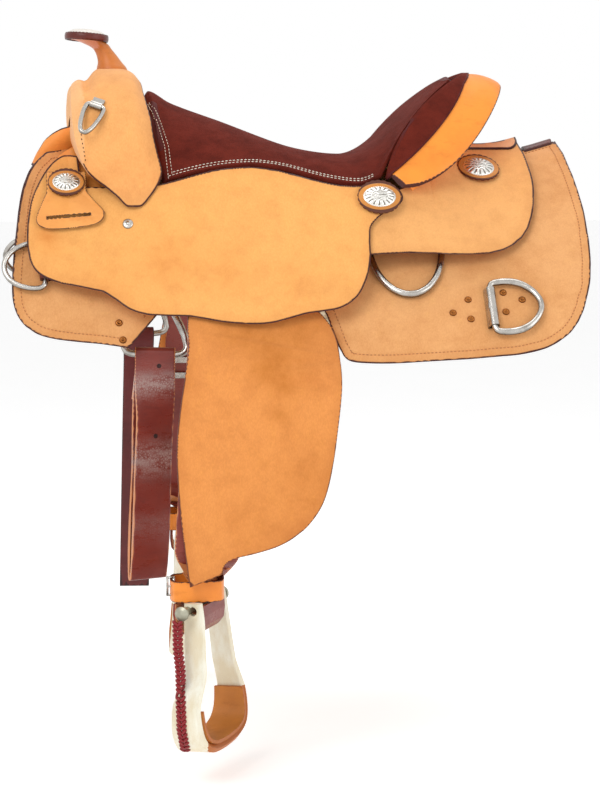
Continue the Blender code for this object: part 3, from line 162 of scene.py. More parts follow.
def material(name, using, inputs, bump=0.0006, **plain):
    """A material whose shader takes what the group puts out, and plain settings. The bump is
    how high its detail stands, in metres."""
    made = bpy.data.materials.new(name)
    made.use_nodes = True
    tree = made.node_tree
    shader = tree.nodes["Principled BSDF"]
    part = tree.nodes.new("ShaderNodeGroup")
    part.node_tree = using
    for socket, value in inputs.items():
        part.inputs[socket].default_value = paint(value) if isinstance(value, tuple) else value
    for socket in part.outputs:
        if socket.name == "Height":
            dent = node("Bump", {"Height": socket, "Distance": bump, "Strength": 0.8})
            tree.links.new(dent.outputs[0], shader.inputs["Normal"])
        else:
            tree.links.new(socket, shader.inputs[socket.name])
    for socket, value in plain.items():
        shader.inputs[socket.replace("_", " ")].default_value = value
    return made


def skin_look(tree, given):
    """Rawhide: glassy skin with milky streaks and small dents."""
    where = place(tree)
    cloud = spots(stretched(where, 1.0, 1.0, 0.35), 42.0, 5.0, 0.6)
    pores = spots(where, 700.0, 2.0)
    base = mixed(ramp(cloud, 0.42, 0.68), given["Skin"], given["Streak"])
    base = mixed(ramp(pores, 0.55, 0.8, 0.0, 0.25), base, given["Skin"], "MULTIPLY")
    return base, ramp(cloud, 0.3, 0.7, 0.36, 0.56), plus(cloud, times(pores, 0.12))


SKIN = effect("rawhide skin", skin_look, ("Skin", "Streak"))
tree_skin = material("tree rawhide", SKIN, {"Skin": (203, 171, 122), "Streak": (236, 222, 190)})
for name in ("tree_bar_left", "tree_bar_right", "tree_cantle"):
    frame["nodes"][name].material_slots[0].material = tree_skin

# --- Ground seat ---
# A moulded plate of resin and glass between fork and cantle. The glass mat shows as a fine
# crossed weave in an amber resin.


def glass_look(tree, given):
    """Crossed glass threads under resin."""
    where = place(tree)
    threads = {"Vector": where, "Scale": 190.0, "Distortion": 1.2}
    warp = node("TexWave", threads).outputs["Fac"]
    weft = node("TexWave", threads, bands_direction="Y").outputs["Fac"]
    weave = times(warp, weft)
    cloud = spots(where, 26.0, 4.0)
    base = mixed(times(weave, cloud), given["Resin"], given["Glass"])
    return base, ramp(cloud, 0.3, 0.7, 0.3, 0.55), weave


GLASS = effect("glass mat", glass_look, ("Resin", "Glass"))
resin = material("ground seat", GLASS, {"Resin": (176, 142, 92), "Glass": (214, 194, 150)})
frame["nodes"]["ground_seat"].material_slots[0].material = resin

# --- Fleece linings ---
# Woolskin glued and stitched under each skirt, wool side to the horse. The wool stands in
# cream tufts, so each lining is a lumpy padded piece over the plain solid.
TUFT_RISE = 0.0028
TUFTS = 130.0  # how close the tufts stand, to the metre
TUFT_FADE = 0.010  # from the stitched edge, where they are pressed to TUFT_LEAST of their rise
TUFT_LEAST = 0.15
MERGE = 2e-5
CREASE = math.radians(48.0)
BROAD = 0.0075  # a patch narrower than this is a cut edge
RIM_STEP = 0.0015  # how close together a rim is measured


def taken(b):
    """The points and faces of a mesh that has been worked on, which is then let go."""
    points = np.array([v.co[:] for v in b.verts])
    faces = np.array([[v.index for v in f.verts] for f in b.faces])
    b.free()
    return points, faces


def solid_patches(name):
    """Points, faces and patch number of each face of a solid, cut up along its creases."""
    b = bmesh.new()
    b.from_mesh(frame["nodes"][name].data)
    bmesh.ops.remove_doubles(b, verts=b.verts, dist=MERGE)
    bmesh.ops.triangulate(b, faces=b.faces)
    b.faces.ensure_lookup_table()
    part = np.full(len(b.faces), -1)
    areas = []
    for first in b.faces:
        if part[first.index] >= 0:
            continue
        part[first.index] = len(areas)
        waiting, area = [first], 0.0
        while waiting:
            face = waiting.pop()
            area += face.calc_area()
            for edge in face.edges:
                if len(edge.link_faces) == 2 and edge.calc_face_angle(0.0) < CREASE:
                    for other in edge.link_faces:
                        if part[other.index] < 0:
                            part[other.index] = len(areas)
                            waiting.append(other)
        areas.append(area)
    return *taken(b), part, np.array(areas)


def unit(rows):
    """Each row at length one."""
    return rows / np.maximum(np.linalg.norm(rows, axis=-1, keepdims=True), 1e-12)


def face_normals(points, faces):
    """The normal of each face, twice as long as the face is large."""
    corners = points[faces]
    return np.cross(corners[:, 1] - corners[:, 0], corners[:, 2] - corners[:, 0])


def face_sides(faces):
    """The two points of each side: all first sides, then all second and third ones."""
    return np.concatenate([faces[:, [0, 1]], faces[:, [1, 2]], faces[:, [2, 0]]])


def edge_table(faces, part):
    """Each edge once, the edges of each face's three sides, and the patches either side."""
    edges, back = np.unique(np.sort(face_sides(faces), axis=1), axis=0, return_inverse=True)
    back = back.reshape(-1)
    low = np.full(len(edges), len(faces))
    high = np.full(len(edges), -1)
    np.minimum.at(low, back, np.tile(part, 3))
    np.maximum.at(high, back, np.tile(part, 3))
    return edges, back.reshape(3, -1), low, high


def patch_normals(points, faces, part):
    """The normal of each point within each patch, and the key it is found by."""
    count = part.max() + 1
    corners = points[faces]
    flat = unit(face_normals(points, faces))
    keys, back = np.unique(faces * count + part[:, None], return_inverse=True)
    back = back.reshape(faces.shape)
    normals = np.zeros((len(keys), 3))
    for k in range(3):
        one = unit(corners[:, (k + 1) % 3] - corners[:, k])
        two = unit(corners[:, (k + 2) % 3] - corners[:, k])
        angle = np.arccos(np.clip((one * two).sum(1), -1, 1))
        np.add.at(normals, back[:, k], flat * angle[:, None])
    return count, keys, unit(normals)


RIM_TURN = math.cos(math.radians(40.0))  # a rim that turns more than this has a corner


def rim_tangents(points, rims):
    """For each rim edge, the way the rim runs at its two ends."""
    near = {}
    for a, b in rims.tolist():
        near.setdefault(a, []).append(b)
        near.setdefault(b, []).append(a)
    out = np.zeros((len(rims), 2, 3))
    for row, pair in enumerate(rims.tolist()):
        along = unit(points[pair[1]] - points[pair[0]])
        for end in range(2):
            here, other = pair[end], pair[1 - end]
            out[row, end] = along
            if len(near[here]) == 2:
                beyond = near[here][0] if near[here][1] == other else near[here][1]
                go_on = unit(points[here] - points[beyond]) * (1 - 2 * end)
                if float(go_on @ along) > RIM_TURN:
                    out[row, end] = unit(along + go_on)
    return out


def halve(points, faces, part):
    """Splits every edge and lays the new point on the curve that the surface follows there."""
    edges, back, low, high = edge_table(faces, part)
    count, keys, normals = patch_normals(points, faces, part)
    a, b = points[edges[:, 0]], points[edges[:, 1]]
    at_a = normals[np.searchsorted(keys, edges[:, 0] * count + low)]
    at_b = normals[np.searchsorted(keys, edges[:, 1] * count + low)]
    run = b - a
    lift_a = (run * at_a).sum(1)[:, None] * at_a
    lift_b = (run * at_b).sum(1)[:, None] * at_b
    middle = (a + b) / 2 - (lift_a - lift_b) / 8
    rim = low != high
    if rim.any():
        ends = rim_tangents(points, edges[rim])
        length = np.linalg.norm(run[rim], axis=1)[:, None]
        middle[rim] = (a[rim] + b[rim]) / 2 + length / 8 * (ends[:, 0] - ends[:, 1])
    m = back + len(points)
    new = [
        np.stack([faces[:, 0], m[0], m[2]], axis=1),
        np.stack([m[0], faces[:, 1], m[1]], axis=1),
        np.stack([m[2], m[1], faces[:, 2]], axis=1),
        np.stack([m[0], m[1], m[2]], axis=1),
    ]
    return np.concatenate([points, middle]), np.concatenate(new), np.tile(part, 4)


def nearest_of(points):
    """A finder for the nearest of some points."""
    tree = KDTree(len(points))
    for k, p in enumerate(points):
        tree.insert(p, k)
    tree.balance()
    return tree


def skin_of(points, faces):
    """A finder for the nearest place on a surface."""
    return BVHTree.FromPolygons(points.tolist(), faces.tolist())


def rim_distance(points, edges, is_rim):
    """How far each point is from the nearest rim."""
    dense = []
    for a, b in edges[is_rim].tolist():
        steps = max(1, math.ceil(np.linalg.norm(points[b] - points[a]) / RIM_STEP))
        for k in range(steps):
            dense.append(points[a] + (points[b] - points[a]) * k / steps)
    if not dense:
        return np.full(len(points), 1.0)
    rims = nearest_of(dense)
    return np.array([rims.find(p)[2] for p in points])


def placed(name, data):
    """A mesh, lamp or camera as an object in the scene."""
    made = bpy.data.objects.new(name, data)
    bpy.context.collection.objects.link(made)
    return made


def mesh_object(name, points, faces):
    """A smooth-shaded object from arrays."""
    mesh = bpy.data.meshes.new(name)
    mesh.from_pydata(points.tolist(), [], faces.tolist())
    mesh.shade_smooth()
    return placed(name, mesh)


def marked(made, name, values):
    """Stores one value for each point of a piece, for its material to read."""
    held = made.data.attributes.new(name, "FLOAT", "POINT")
    held.data.foreach_set("value", np.asarray(values, np.float32))


surfaces = {}  # the finished surface of each piece, for what is fixed on it


def fine(name, rounds, look, shape=None, edged=None):
    """The solid's own shape made finer and smooth, as a piece that stands for it.
    The attribute rim holds each point's distance from the piece's own edges: those between
    a broad face and an edge face, or the creases that edged() accepts. shape() may move
    the points; it gets them, the faces and those distances."""
    points, faces, part, areas = solid_patches(name)
    for _ in range(rounds):
        points, faces, part = halve(points, faces, part)
    edges, _, low, high = edge_table(faces, part)
    around = np.full(len(areas), 1e-6)
    for border in (low, high):
        length = np.linalg.norm(points[edges[:, 0]] - points[edges[:, 1]], axis=1)
        np.add.at(around, border[low != high], length[low != high])
    broad = areas / (around / 2) > BROAD
    is_rim = (low != high) & (broad[low] != broad[high])
    if edged is not None:
        is_rim = (low != high) & edged(points[edges].mean(1))
    rim = rim_distance(points, edges, is_rim)
    thin = np.ones(len(points), bool)
    thin[faces[broad[part]].ravel()] = False
    rim[thin] = 0.0
    if shape is not None:
        points = shape(points, faces, rim)
    made = mesh_object(name + "_fine", points, faces)
    marked(made, "rim", rim)
    sharp = {tuple(e) for e in edges[low != high].tolist()}
    for edge in made.data.edges:
        edge.use_edge_sharp = tuple(sorted(edge.vertices)) in sharp
    made.data.materials.append(look)
    surfaces[name] = (points, faces, part, broad, skin_of(points, faces))
    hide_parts(name)
    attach(made, body_of(frame["nodes"][name])[0])
    return made


def wool_look(tree, given):
    """Crimped wool: small curls in cream, darker down between them."""
    where = place(tree)
    cells = {"Vector": where, "Scale": 190.0, "Randomness": 1.0}
    curls = node("TexVoronoi", cells).outputs["Distance"]
    fibre = spots(where, 1100.0, 3.0, 0.7)
    cloud = spots(where, 22.0, 3.0)
    base = mixed(ramp(curls, 0.25, 0.75), given["Cream"], given["Shade"])
    base = mixed(ramp(cloud, 0.45, 0.7, 0.0, 0.35), base, given["Shade"])
    return base, ramp(fibre, 0.2, 0.8, 0.85, 1.0), minus(times(fibre, 0.5), curls)


WOOL = effect("wool", wool_look, ("Cream", "Shade"))
wool_colours = {"Cream": (232, 218, 190), "Shade": (176, 152, 116)}
wool = material("wool", WOOL, wool_colours, 0.0025, Sheen_Weight=0.4)


def outward(points, faces):
    """The smooth normal at each point."""
    flat = face_normals(points, faces)
    normals = np.zeros_like(points)
    for k in range(3):
        np.add.at(normals, faces[:, k], flat)
    return unit(normals)


def tufted(points, faces, rim):
    """Stands the wool up in tufts, flat again at the stitched edge."""
    normals = outward(points, faces)
    rise = np.array([noise.fractal(Vector(p) * TUFTS, 1.0, 2.0, 2) for p in points.tolist()])
    under = normals[:, 2] < 0.25  # only the side that lies on the horse
    share = np.clip(rim / TUFT_FADE, TUFT_LEAST, 1.0) * under
    return points + normals * (rise * share * TUFT_RISE)[:, None]


for side in SIDES:
    lining = fine(f"fleece_{side}", 3, wool, tufted)

# --- Skirts ---
# Heavy skirting leather, flesh side out, so it has a short nap that scuffs and stains. The
# cut edges are dyed dark and burnished, and a row of thread runs close inside them.
ROUGH_STAIN = (196, 126, 66)
EDGE_DARK = (62, 22, 18)
SCUFF_LIGHT = (1.0, 0.82, 0.62, 1.0)
SKIRT_STITCH_INSET = 0.0105
STITCH_STEP = 0.0046
STITCH_SIZE = (0.0034, 0.0010, 0.0008)  # length, width and height
SKIRT_STITCH_SIZE = (0.0032, 0.0013, 0.0008)
ROW_SLACK = 0.85  # a row ends where another edge is nearer than this share of its inset
ROW_LEAST = 5
CORNER = (0.050, 0.022)  # x and reach of the rear skirt's corner
CORNER_HIGH = (-0.128, -0.04)  # the height it starts at, and how far down it gets full
CORNER_FULL = 0.014


def nap_look(tree, given):
    """Rough-out leather: nap fibres, scuffs and stains, with a burnished dark edge."""
    where = place(tree)
    rim = stored(tree, "rim")
    wide = spots(where, 9.0, 4.0, 0.6)
    cloud = spots(where, 46.0, 6.0, 0.65)
    brushed = stretched(where, 1.0, 1.0, 0.45)
    fibre = spots(brushed, 620.0, 4.0, 0.7)
    scuff = spots(brushed, 95.0, 8.0, 0.75)
    base = mixed(ramp(wide, 0.48, 0.74, 0.0, 0.42), given["Hide"], given["Stain"])
    base = mixed(ramp(cloud, 0.46, 0.74, 0.0, 0.34), base, given["Stain"])
    base = mixed(ramp(scuff, 0.56, 0.72, 0.0, 0.24), base, SCUFF_LIGHT, "SOFT_LIGHT")
    base = mixed(ramp(fibre, 0.40, 0.62, 0.16, 0.0), base, given["Stain"], "MULTIPLY")
    soiled = times(stored(tree, "soil"), ramp(cloud, 0.3, 0.7, 0.5, 1.0))
    base = mixed(soiled, base, given["Soil"])
    wander = times(minus(scuff, 0.5), 0.0009)
    inside = minus(plus(rim, wander), given["Edge Width"])
    keep = ramp(inside, -0.0003, 0.0006)
    base = mixed(ramp(inside, 0.0, 0.012, 0.30, 0.0), base, given["Stain"])
    base = mixed(keep, given["Edge"], base)
    rough = plus(ramp(scuff, 0.3, 0.7, 0.78, 0.95), ramp(keep, 0.0, 1.0, -0.42, 0.0))
    height = plus(times(fibre, 0.34), times(scuff, 0.30))
    return base, rough, plus(height, ramp(rim, 0.0, 0.0028, 0.0, 1.1))


NAP = effect("rough leather", nap_look, ("Hide", "Stain", "Soil", "Edge"), ("Edge Width",))


def rough_leather(name, hide, stain=ROUGH_STAIN, soil=(150, 90, 40), edge=EDGE_DARK, width=0.0019):
    """Rough-out leather of one colour."""
    inputs = {"Hide": hide, "Stain": stain, "Soil": soil, "Edge": edge, "Edge Width": width}
    return material(name, NAP, inputs, 0.0007, Sheen_Weight=0.12, Specular_IOR_Level=0.25)


skirt_leather = rough_leather("skirt leather", (233, 172, 112))


def handled(made, marks):
    """Darkens a panel in soft round marks: x, z, reach and depth of each."""
    soil = 0
    x, _, z = np.array([v.co[:] for v in made.data.vertices]).T
    for at_x, at_z, reach, depth in marks:
        soil = soil + depth * np.exp(-(((x - at_x) ** 2 + (z - at_z) ** 2) / reach**2))
    marked(made, "soil", np.clip(soil, 0, 1))


def chains(edges):
    """The edges strung together into lines of points, closed lines first point last too."""
    near = {}
    for a, b in edges:
        near.setdefault(a, []).append(b)
        near.setdefault(b, []).append(a)
    used = set()
    found = []
    for start in sorted(near, key=lambda v: (len(near[v]) == 2, v)):
        for first in near[start]:
            if (start, first) in used:
                continue
            line = [start, first]
            used |= {(start, first), (first, start)}
            while len(near[line[-1]]) == 2 and line[-1] != start:
                ahead = [v for v in near[line[-1]] if (line[-1], v) not in used]
                if not ahead:
                    break
                used |= {(line[-1], ahead[0]), (ahead[0], line[-1])}
                line.append(ahead[0])
            found.append(line)
    return found


def spaced(line, step):
    """Points along a line of points, one step apart."""
    run = np.concatenate([[0.0], np.cumsum(np.linalg.norm(np.diff(line, axis=0), axis=1))])
    at = np.linspace(0.0, run[-1], max(2, round(run[-1] / step)))
    return np.stack([np.interp(at, run, line[:, k]) for k in range(3)], axis=1)


def inset_rows(name, facing, inset, keep, step=STITCH_STEP):
    """Rows of points inset from the rim of the patch that faces one way, with the way each
    row runs and the surface normal there. Only points that keep() accepts are used."""
    points, faces, part, broad, _ = surfaces[name]
    flat = face_normals(points, faces)
    facing = unit(np.array(facing, float))
    best = max(np.flatnonzero(broad), key=lambda k: float(flat[part == k].sum(0) @ facing))
    skin = skin_of(points, faces[part == best])
    edges, _, low, high = edge_table(faces, part)
    rims = edges[(low != high) & ((low == best) | (high == best))]
    rim_points = [spaced(points[line], step / 2) for line in chains(rims.tolist())]
    near = nearest_of(np.concatenate(rim_points))
    rows = []
    for rim in rim_points:
        way = unit(np.gradient(rim, axis=0))
        for sign in (1, -1):
            row = []
            for p, w in zip(rim, way):
                normal = np.array(skin.find_nearest(Vector(p))[1])
                inward = np.cross(normal, w) * sign
                hit, up, _, _ = skin.find_nearest(Vector(p + inward * inset))
                if near.find(hit)[2] > inset * ROW_SLACK and keep(hit):
                    row.append([*hit, *up])
                elif row:
                    rows.append(row)
                    row = []
            rows.append(row)
    out = []
    for row in rows:
        if len(row) > ROW_LEAST:
            row = np.array(row)
            line = spaced(row[:, :3], step)
            normals = [skin.find_nearest(Vector(p))[1] for p in line]
            out.append((line, unit(np.gradient(line, axis=0)), np.array(normals)))
    return out


def seed():
    """Points and faces of one small rounded stitch, a unit ball with its long way along X."""
    b = bmesh.new()
    lying = Matrix.Rotation(math.pi / 2, 4, "Y")
    bmesh.ops.create_uvsphere(b, u_segments=6, v_segments=4, radius=1.0, matrix=lying)
    bmesh.ops.triangulate(b, faces=b.faces)
    return taken(b)


SEED = seed()


def fixed(made, look, body):
    """Gives a new piece its material, slot and body."""
    made.data.materials.append(look)
    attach(made, body)
    return made


def sewn(name, rows, look, body="saddle", size=STITCH_SIZE, slant=0.0, sink=0.25):
    """Short rounded stitches along rows of points, as one piece."""
    length, width, height = size
    ball, skin = SEED
    points, faces = [], []
    for line, ways, normals in rows:
        for p, way, up in zip(line, ways, unit(normals)):
            way = unit(way - up * float(way @ up))
            across = np.cross(up, way)
            along = way * math.cos(slant) + across * math.sin(slant)
            across = np.cross(up, along)
            axes = np.stack([along * length / 2, across * width / 2, up * height])
            faces.append(skin + len(points) * len(ball))
            points.append(ball @ axes + p + up * height * (0.5 - sink))
    made = mesh_object(name, np.concatenate(points), np.concatenate(faces))
    return fixed(made, look, body)


THREAD_SOIL = (0.2, 0.1, 0.05, 1.0)


def thread_look(tree, given):
    """Twisted waxed thread."""
    where = place(tree)
    soil = spots(where, 70.0, 3.0)
    twist = spots(where, 2400.0, 2.0)
    base = mixed(ramp(soil, 0.45, 0.8, 0.0, 0.5), given["Thread"], THREAD_SOIL)
    return base, ramp(twist, 0.3, 0.7, 0.55, 0.8), twist


THREAD = effect("thread", thread_look, ("Thread",))
tan_thread = material("tan thread", THREAD, {"Thread": (188, 122, 72)}, 0.0002)


def fade(values, start, length):
    """0 up to the start, 1 from a length past it, and evenly between."""
    return np.clip((values - start) / length, 0, 1)


def bell(values, middle, reach):
    """1 at the middle, soft to nothing on both sides."""
    return np.exp(-(((values - middle) / reach) ** 2))


def full_corner(points, *_):
    """Fills the corner of the rear skirt that tucks behind the fender."""
    near = bell(points[:, 0], *CORNER) * fade(points[:, 2], *CORNER_HIGH)
    return points - near[:, None] * np.array([CORNER_FULL, 0.0, 0.0])


for side, sign in SIDES.items():
    fine(f"skirt_{side}", 2, skirt_leather, full_corner)
    rows = inset_rows(f"skirt_{side}", (0, sign, 0.3), SKIRT_STITCH_INSET, lambda p: True)
    sewn(f"skirt_stitching_{side}", rows, tan_thread, size=SKIRT_STITCH_SIZE)

# --- Rear and seat jockeys ---
# The panels over the skirts: the seat jockey fills the space below the seat and the rear
# jockey runs back behind the cantle. Rough side out, edges burnished dark.
jockey_leather = rough_leather(
    "seat jockey leather", (247, 180, 102), (214, 142, 76), (222, 138, 66)
)
rear_leather = rough_leather("rear jockey leather", (243, 179, 110), (208, 142, 80))
JOCKEY_MARKS = (
    (-0.3235, -0.062, 0.015, 0.75), (-0.331, -0.050, 0.010, 0.6), (-0.180, -0.086, 0.036, 0.55),
    (-0.110, -0.101, 0.030, 0.4), (-0.255, -0.115, 0.030, 0.35), (-0.030, -0.110, 0.030, 0.3),
)

for side in SIDES:
    fine(f"rear_jockey_{side}", 3, rear_leather)
    handled(fine(f"seat_jockey_{side}", 3, jockey_leather), JOCKEY_MARKS)

# --- Swell cover ---
# Rough-out leather drawn over the fork in one piece, with a seam down the front face and its
# lower edge turned under.
swell_leather = rough_leather("swell leather", (243, 176, 106), (206, 138, 78))
front_leather = rough_leather("swell front leather", (246, 188, 128), (220, 158, 100))
SWELL_FRONT_X = -0.2835  # the seam between front face and sides
FRONT_LEATHER_X = -0.2805
SEAM_DOTS = (
    (-0.2832, -0.154, 0.066), (-0.2822, -0.1535, 0.057), (-0.281, -0.1522, 0.048),
    (-0.2795, -0.149, 0.036),
)
PARED_FRONT = (-0.262, -0.036)  # where the front corner starts to go in, and over what length
PARED_HIGH = (0.095, 0.05)
PARED_DOWN = 0.0085
PARED_IN = 0.0030
DIP = (-0.2755, 0.0095)  # the middle of the dip before the horn, and its reach
DIP_HIGH = (0.105, 0.03)
DIP_DEPTH = 0.0110
SLANT_REAR = (-0.215, 0.028)
SLANT_HIGH = (0.085, 0.035)
SLANT_IN = 0.0095


def pared(points, *_):
    """Takes the front corner of the swell in and down, where the leather is pared thin, dips
    it before the horn and slants its upper rear edge."""
    x, _, z = points.T
    front = fade(x, *PARED_FRONT)
    moved = points.copy()
    moved[:, 2] -= PARED_DOWN * front * fade(z, *PARED_HIGH)
    moved[:, 0] += PARED_IN * front
    moved[:, 2] -= DIP_DEPTH * (bell(x, *DIP) * fade(z, *DIP_HIGH))
    moved[:, 0] -= SLANT_IN * (fade(x, *SLANT_REAR) * fade(z, *SLANT_HIGH))
    return moved


fine("tree_fork", 2, tree_skin, pared)
swell = fine(
    "swell_cover", 3, swell_leather, pared,
    lambda middle: middle[:, 0] > SWELL_FRONT_X,
)
swell.data.materials.append(front_leather)
for face in swell.data.polygons:
    face.material_index = int(face.center.x < FRONT_LEATHER_X)


def on_skin(name, line, step=STITCH_STEP):
    """A row along a line of points, laid on a piece's surface."""
    skin = surfaces[name][4]
    line = spaced(np.array(line, float), step)
    found = [skin.find_nearest(Vector(p)) for p in line]
    laid = np.array([f[0] for f in found])
    return laid, unit(np.gradient(laid, axis=0)), np.array([f[1] for f in found])


def other_side(line):
    """The same line on the other side of the saddle."""
    return [(x, -y, z) for x, y, z in line]


dots = [on_skin("swell_cover", SEAM_DOTS), on_skin("swell_cover", other_side(SEAM_DOTS))]
dark_thread = material("dark thread", THREAD, {"Thread": (92, 46, 26)}, 0.0002)
sewn("swell_seam", dots, dark_thread, size=(0.0022, 0.0014, 0.0009))
TURNED_STEPS = 24


def turned(name, profile, places, look, body="saddle"):
    """A turned head, one for each place: a profile of radius and height spun about the normal
    of the surface it sits on. Each place is the piece it sits on and a point."""
    b = bmesh.new()
    ring = [b.verts.new((r, 0, h)) for r, h in profile]
    line = ring + [b.edges.new(pair) for pair in zip(ring, ring[1:])]
    about = {"cent": (0, 0, 0), "axis": (0, 0, 1), "angle": math.tau}
    bmesh.ops.spin(b, geom=line, steps=TURNED_STEPS, use_merge=True, **about)
    bmesh.ops.remove_doubles(b, verts=b.verts, dist=MERGE)
    bmesh.ops.triangulate(b, faces=b.faces)
    bmesh.ops.recalc_face_normals(b, faces=b.faces)
    shape, skin = taken(b)
    points, faces = [], []
    for under, at in places:
        hit, up, _, _ = surfaces[under][4].find_nearest(Vector(at))
        if up.dot(Vector(at) - Vector((at[0], 0.0, -0.1))) < 0:
            up = -up
        turn = np.array(up.to_track_quat("Z", "Y").to_matrix())
        faces.append(skin + len(points) * len(shape))
        points.append(shape @ turn.T + np.array(hit))
    made = mesh_object(name, np.concatenate(points), np.concatenate(faces))
    return fixed(made, look, body)


def both_sides(under, *left):
    """Places on a left piece, and the same ones on the right piece."""
    sides = SIDES.items()
    return [(f"{under}_{side}", (x, -sign * y, z)) for side, sign in sides for x, y, z in left]


def metal_look(tree, given):
    """Polished metal with fine scratches and dull spots, and painted shade: darker where it faces
    down, a little darker where it faces up.
    """
    where = place(tree)
    scratch = spots(stretched(where, 1.0, 0.06, 1.0), 900.0, 4.0, 0.7)
    dull = spots(where, 80.0, 4.0, 0.6)
    base = mixed(ramp(dull, 0.48, 0.78, 0.0, 0.6), given["Metal"], given["Tarnish And Shade"])
    # painted shade: the colour goes towards the second colour by the way the surface faces, most
    # where it faces down
    normal = node("NewGeometry", {}, tree).outputs["Normal"]
    facing = node("SeparateXYZ", {"Vector": normal}).outputs["Z"]
    painted_facing_shade = times(ramp(facing, -0.65, 0.1), ramp(facing, 0.1, 0.9, 1.0, 0.72))
    base = mixed(ramp(painted_facing_shade, 0.0, 1.0, 0.78, 0.0), base, given["Tarnish And Shade"])
    return base, plus(given["Polish"], ramp(dull, 0.35, 0.75, -0.04, 0.16)), scratch


METAL = effect("polished metal", metal_look, ("Metal", "Tarnish And Shade"), ("Polish",))


def metal(name, bright, tarnish_and_shade, polish):
    """Metal of one colour, with a second colour for its dull spots and its painted shade; the
    lower the polish number, the more it shines.
    """
    inputs = {"Metal": bright, "Tarnish And Shade": tarnish_and_shade, "Polish": polish}
    return material(name, METAL, inputs, 0.0002, Metallic=1.0)


steel = metal("stainless steel", (198, 194, 188), (96, 90, 80), 0.2)
SCREW = (
    (0.0, 0.0026), (0.0016, 0.0026), (0.0018, 0.0018), (0.0044, 0.0022), (0.0062, 0.0014),
    (0.0066, 0.0), (0.0066, -0.001),
)
swell_places = [("swell_cover", (-0.2452, y, 0.1079)) for y in (-0.1363, 0.1363)]
turned("swell_screws", SCREW, swell_places, steel)
jockey_places = both_sides("seat_jockey", (-0.2293, -0.1543, -0.0406))
turned("jockey_screws", SCREW, jockey_places, steel)

# --- Horn ---
# A metal horn wrapped in smooth leather, with a domed cap painted near white on top as a
# highlight, and a dark binding round it.
# The foot of its neck goes down into the swell.
# the colour of the painted highlight on creases
CREASE_HIGHLIGHT = (0.42, 0.29, 0.26, 1.0)
BINDING_BROWN = (70, 26, 18)


def grain_look(tree, given):
    """Smooth oiled leather: fine grain, darker where it is handled, edges dyed."""
    where = place(tree)
    rim = stored(tree, "rim")
    wide = spots(where, 13.0, 5.0, 0.6)
    crease = spots(stretched(where, 0.5, 1.0, 1.7), 60.0, 6.0, 0.7)
    pores = node("TexVoronoi", {"Vector": where, "Scale": 900.0}).outputs["Distance"]
    base = mixed(ramp(wide, 0.42, 0.72, 0.0, 0.55), given["Hide"], given["Worn"])
    base = mixed(ramp(crease, 0.54, 0.74, 0.0, 0.5), base, given["Worn"])
    base = mixed(ramp(pores, 0.0, 0.35, 0.16, 0.0), base, given["Worn"], "MULTIPLY")
    keep = ramp(minus(rim, given["Edge Width"]), -0.0002, 0.0004)
    base = mixed(keep, given["Edge"], base)
    rough = plus(given["Shine"], ramp(crease, 0.3, 0.75, -0.08, 0.16))
    cells = {"Vector": where, "Scale": 330.0}
    cracks = node("TexVoronoi", cells, feature="DISTANCE_TO_EDGE").outputs["Distance"]
    # painted highlight on creases: a lighter colour in cracked bands where the attribute is set,
    # and lower roughness there
    painted_crease_highlight = times(stored(tree, "crease_highlight"), ramp(plus(cracks, crease), 0.5, 0.72, 0.15, 1.0))
    base = mixed(times(painted_crease_highlight, 0.85), base, CREASE_HIGHLIGHT)
    height = plus(times(pores, 0.10), times(crease, 0.45))
    height = plus(height, ramp(rim, 0.0, 0.0022, 0.0, 1.4))
    return base, minus(rough, times(painted_crease_highlight, 0.10)), height


GRAIN = effect("smooth leather", grain_look, ("Hide", "Worn", "Edge"), ("Edge Width", "Shine"))


def smooth_leather(name, hide, worn, edge, width=0.0012, shine=0.42):
    """Smooth leather of one colour."""
    inputs = {"Hide": hide, "Worn": worn, "Edge": edge, "Edge Width": width, "Shine": shine}
    return material(name, GRAIN, inputs, 0.0005, Specular_IOR_Level=0.4)


HORN_EDGE = (120, 56, 26)
HORN_FOOT = (0.153, -0.003)  # the height of the foot, and over what length it sinks
HORN_SUNK = 0.006
CAP_TOP_Z = 0.1915
CAP_UNDER_Z = 0.172
FACES_DOWN = -0.6
horn_leather = smooth_leather("horn leather", (214, 128, 58), (150, 80, 34), HORN_EDGE)
# near white: a painted highlight on the top of the cap's dome
cap_painted_highlight_leather = smooth_leather("horn cap painted highlight", (232, 228, 222), (206, 198, 186), HORN_EDGE)
under_leather = smooth_leather("under cap leather", (222, 158, 132), (190, 116, 84), HORN_EDGE)


def rooted(points, *_):
    """Carries the foot of the neck down into the swell."""
    foot = fade(points[:, 2], *HORN_FOOT)
    return points - foot[:, None] * np.array([0.0, 0.0, HORN_SUNK])


horn = fine("horn", 2, horn_leather, rooted)
for look in (cap_painted_highlight_leather, under_leather):
    horn.data.materials.append(look)
for face in horn.data.polygons:
    # faces on the top of the cap take the painted highlight
    if face.center.z > CAP_TOP_Z:
        face.material_index = 1
    elif face.center.z > CAP_UNDER_Z and face.normal.z < FACES_DOWN:
        face.material_index = 2
binding_leather = smooth_leather(
    "binding leather", BINDING_BROWN, (126, 44, 30), BINDING_BROWN, shine=0.3
)
fine("horn_cap_binding", 2, binding_leather)

# --- Cantle cover ---
# Smooth orange leather drawn wet over the back board and rolled over its top. The ridge is
# padded, so it stands fuller than the board.
cantle_leather = smooth_leather("cantle leather", (250, 152, 52), (206, 108, 32), (70, 26, 20))
RIDGE_FOOT = (0.087, 0.013)  # x and z where the cantle's ridge starts and ends
RIDGE_TOP = (0.209, 0.148)
RIDGE_FULL = 0.017
RIDGE_FRONT_REACH = 0.040
RIDGE_REAR_REACH = 0.015
RIDGE_ROUND = 0.8  # the lower, the more evenly full from foot to top


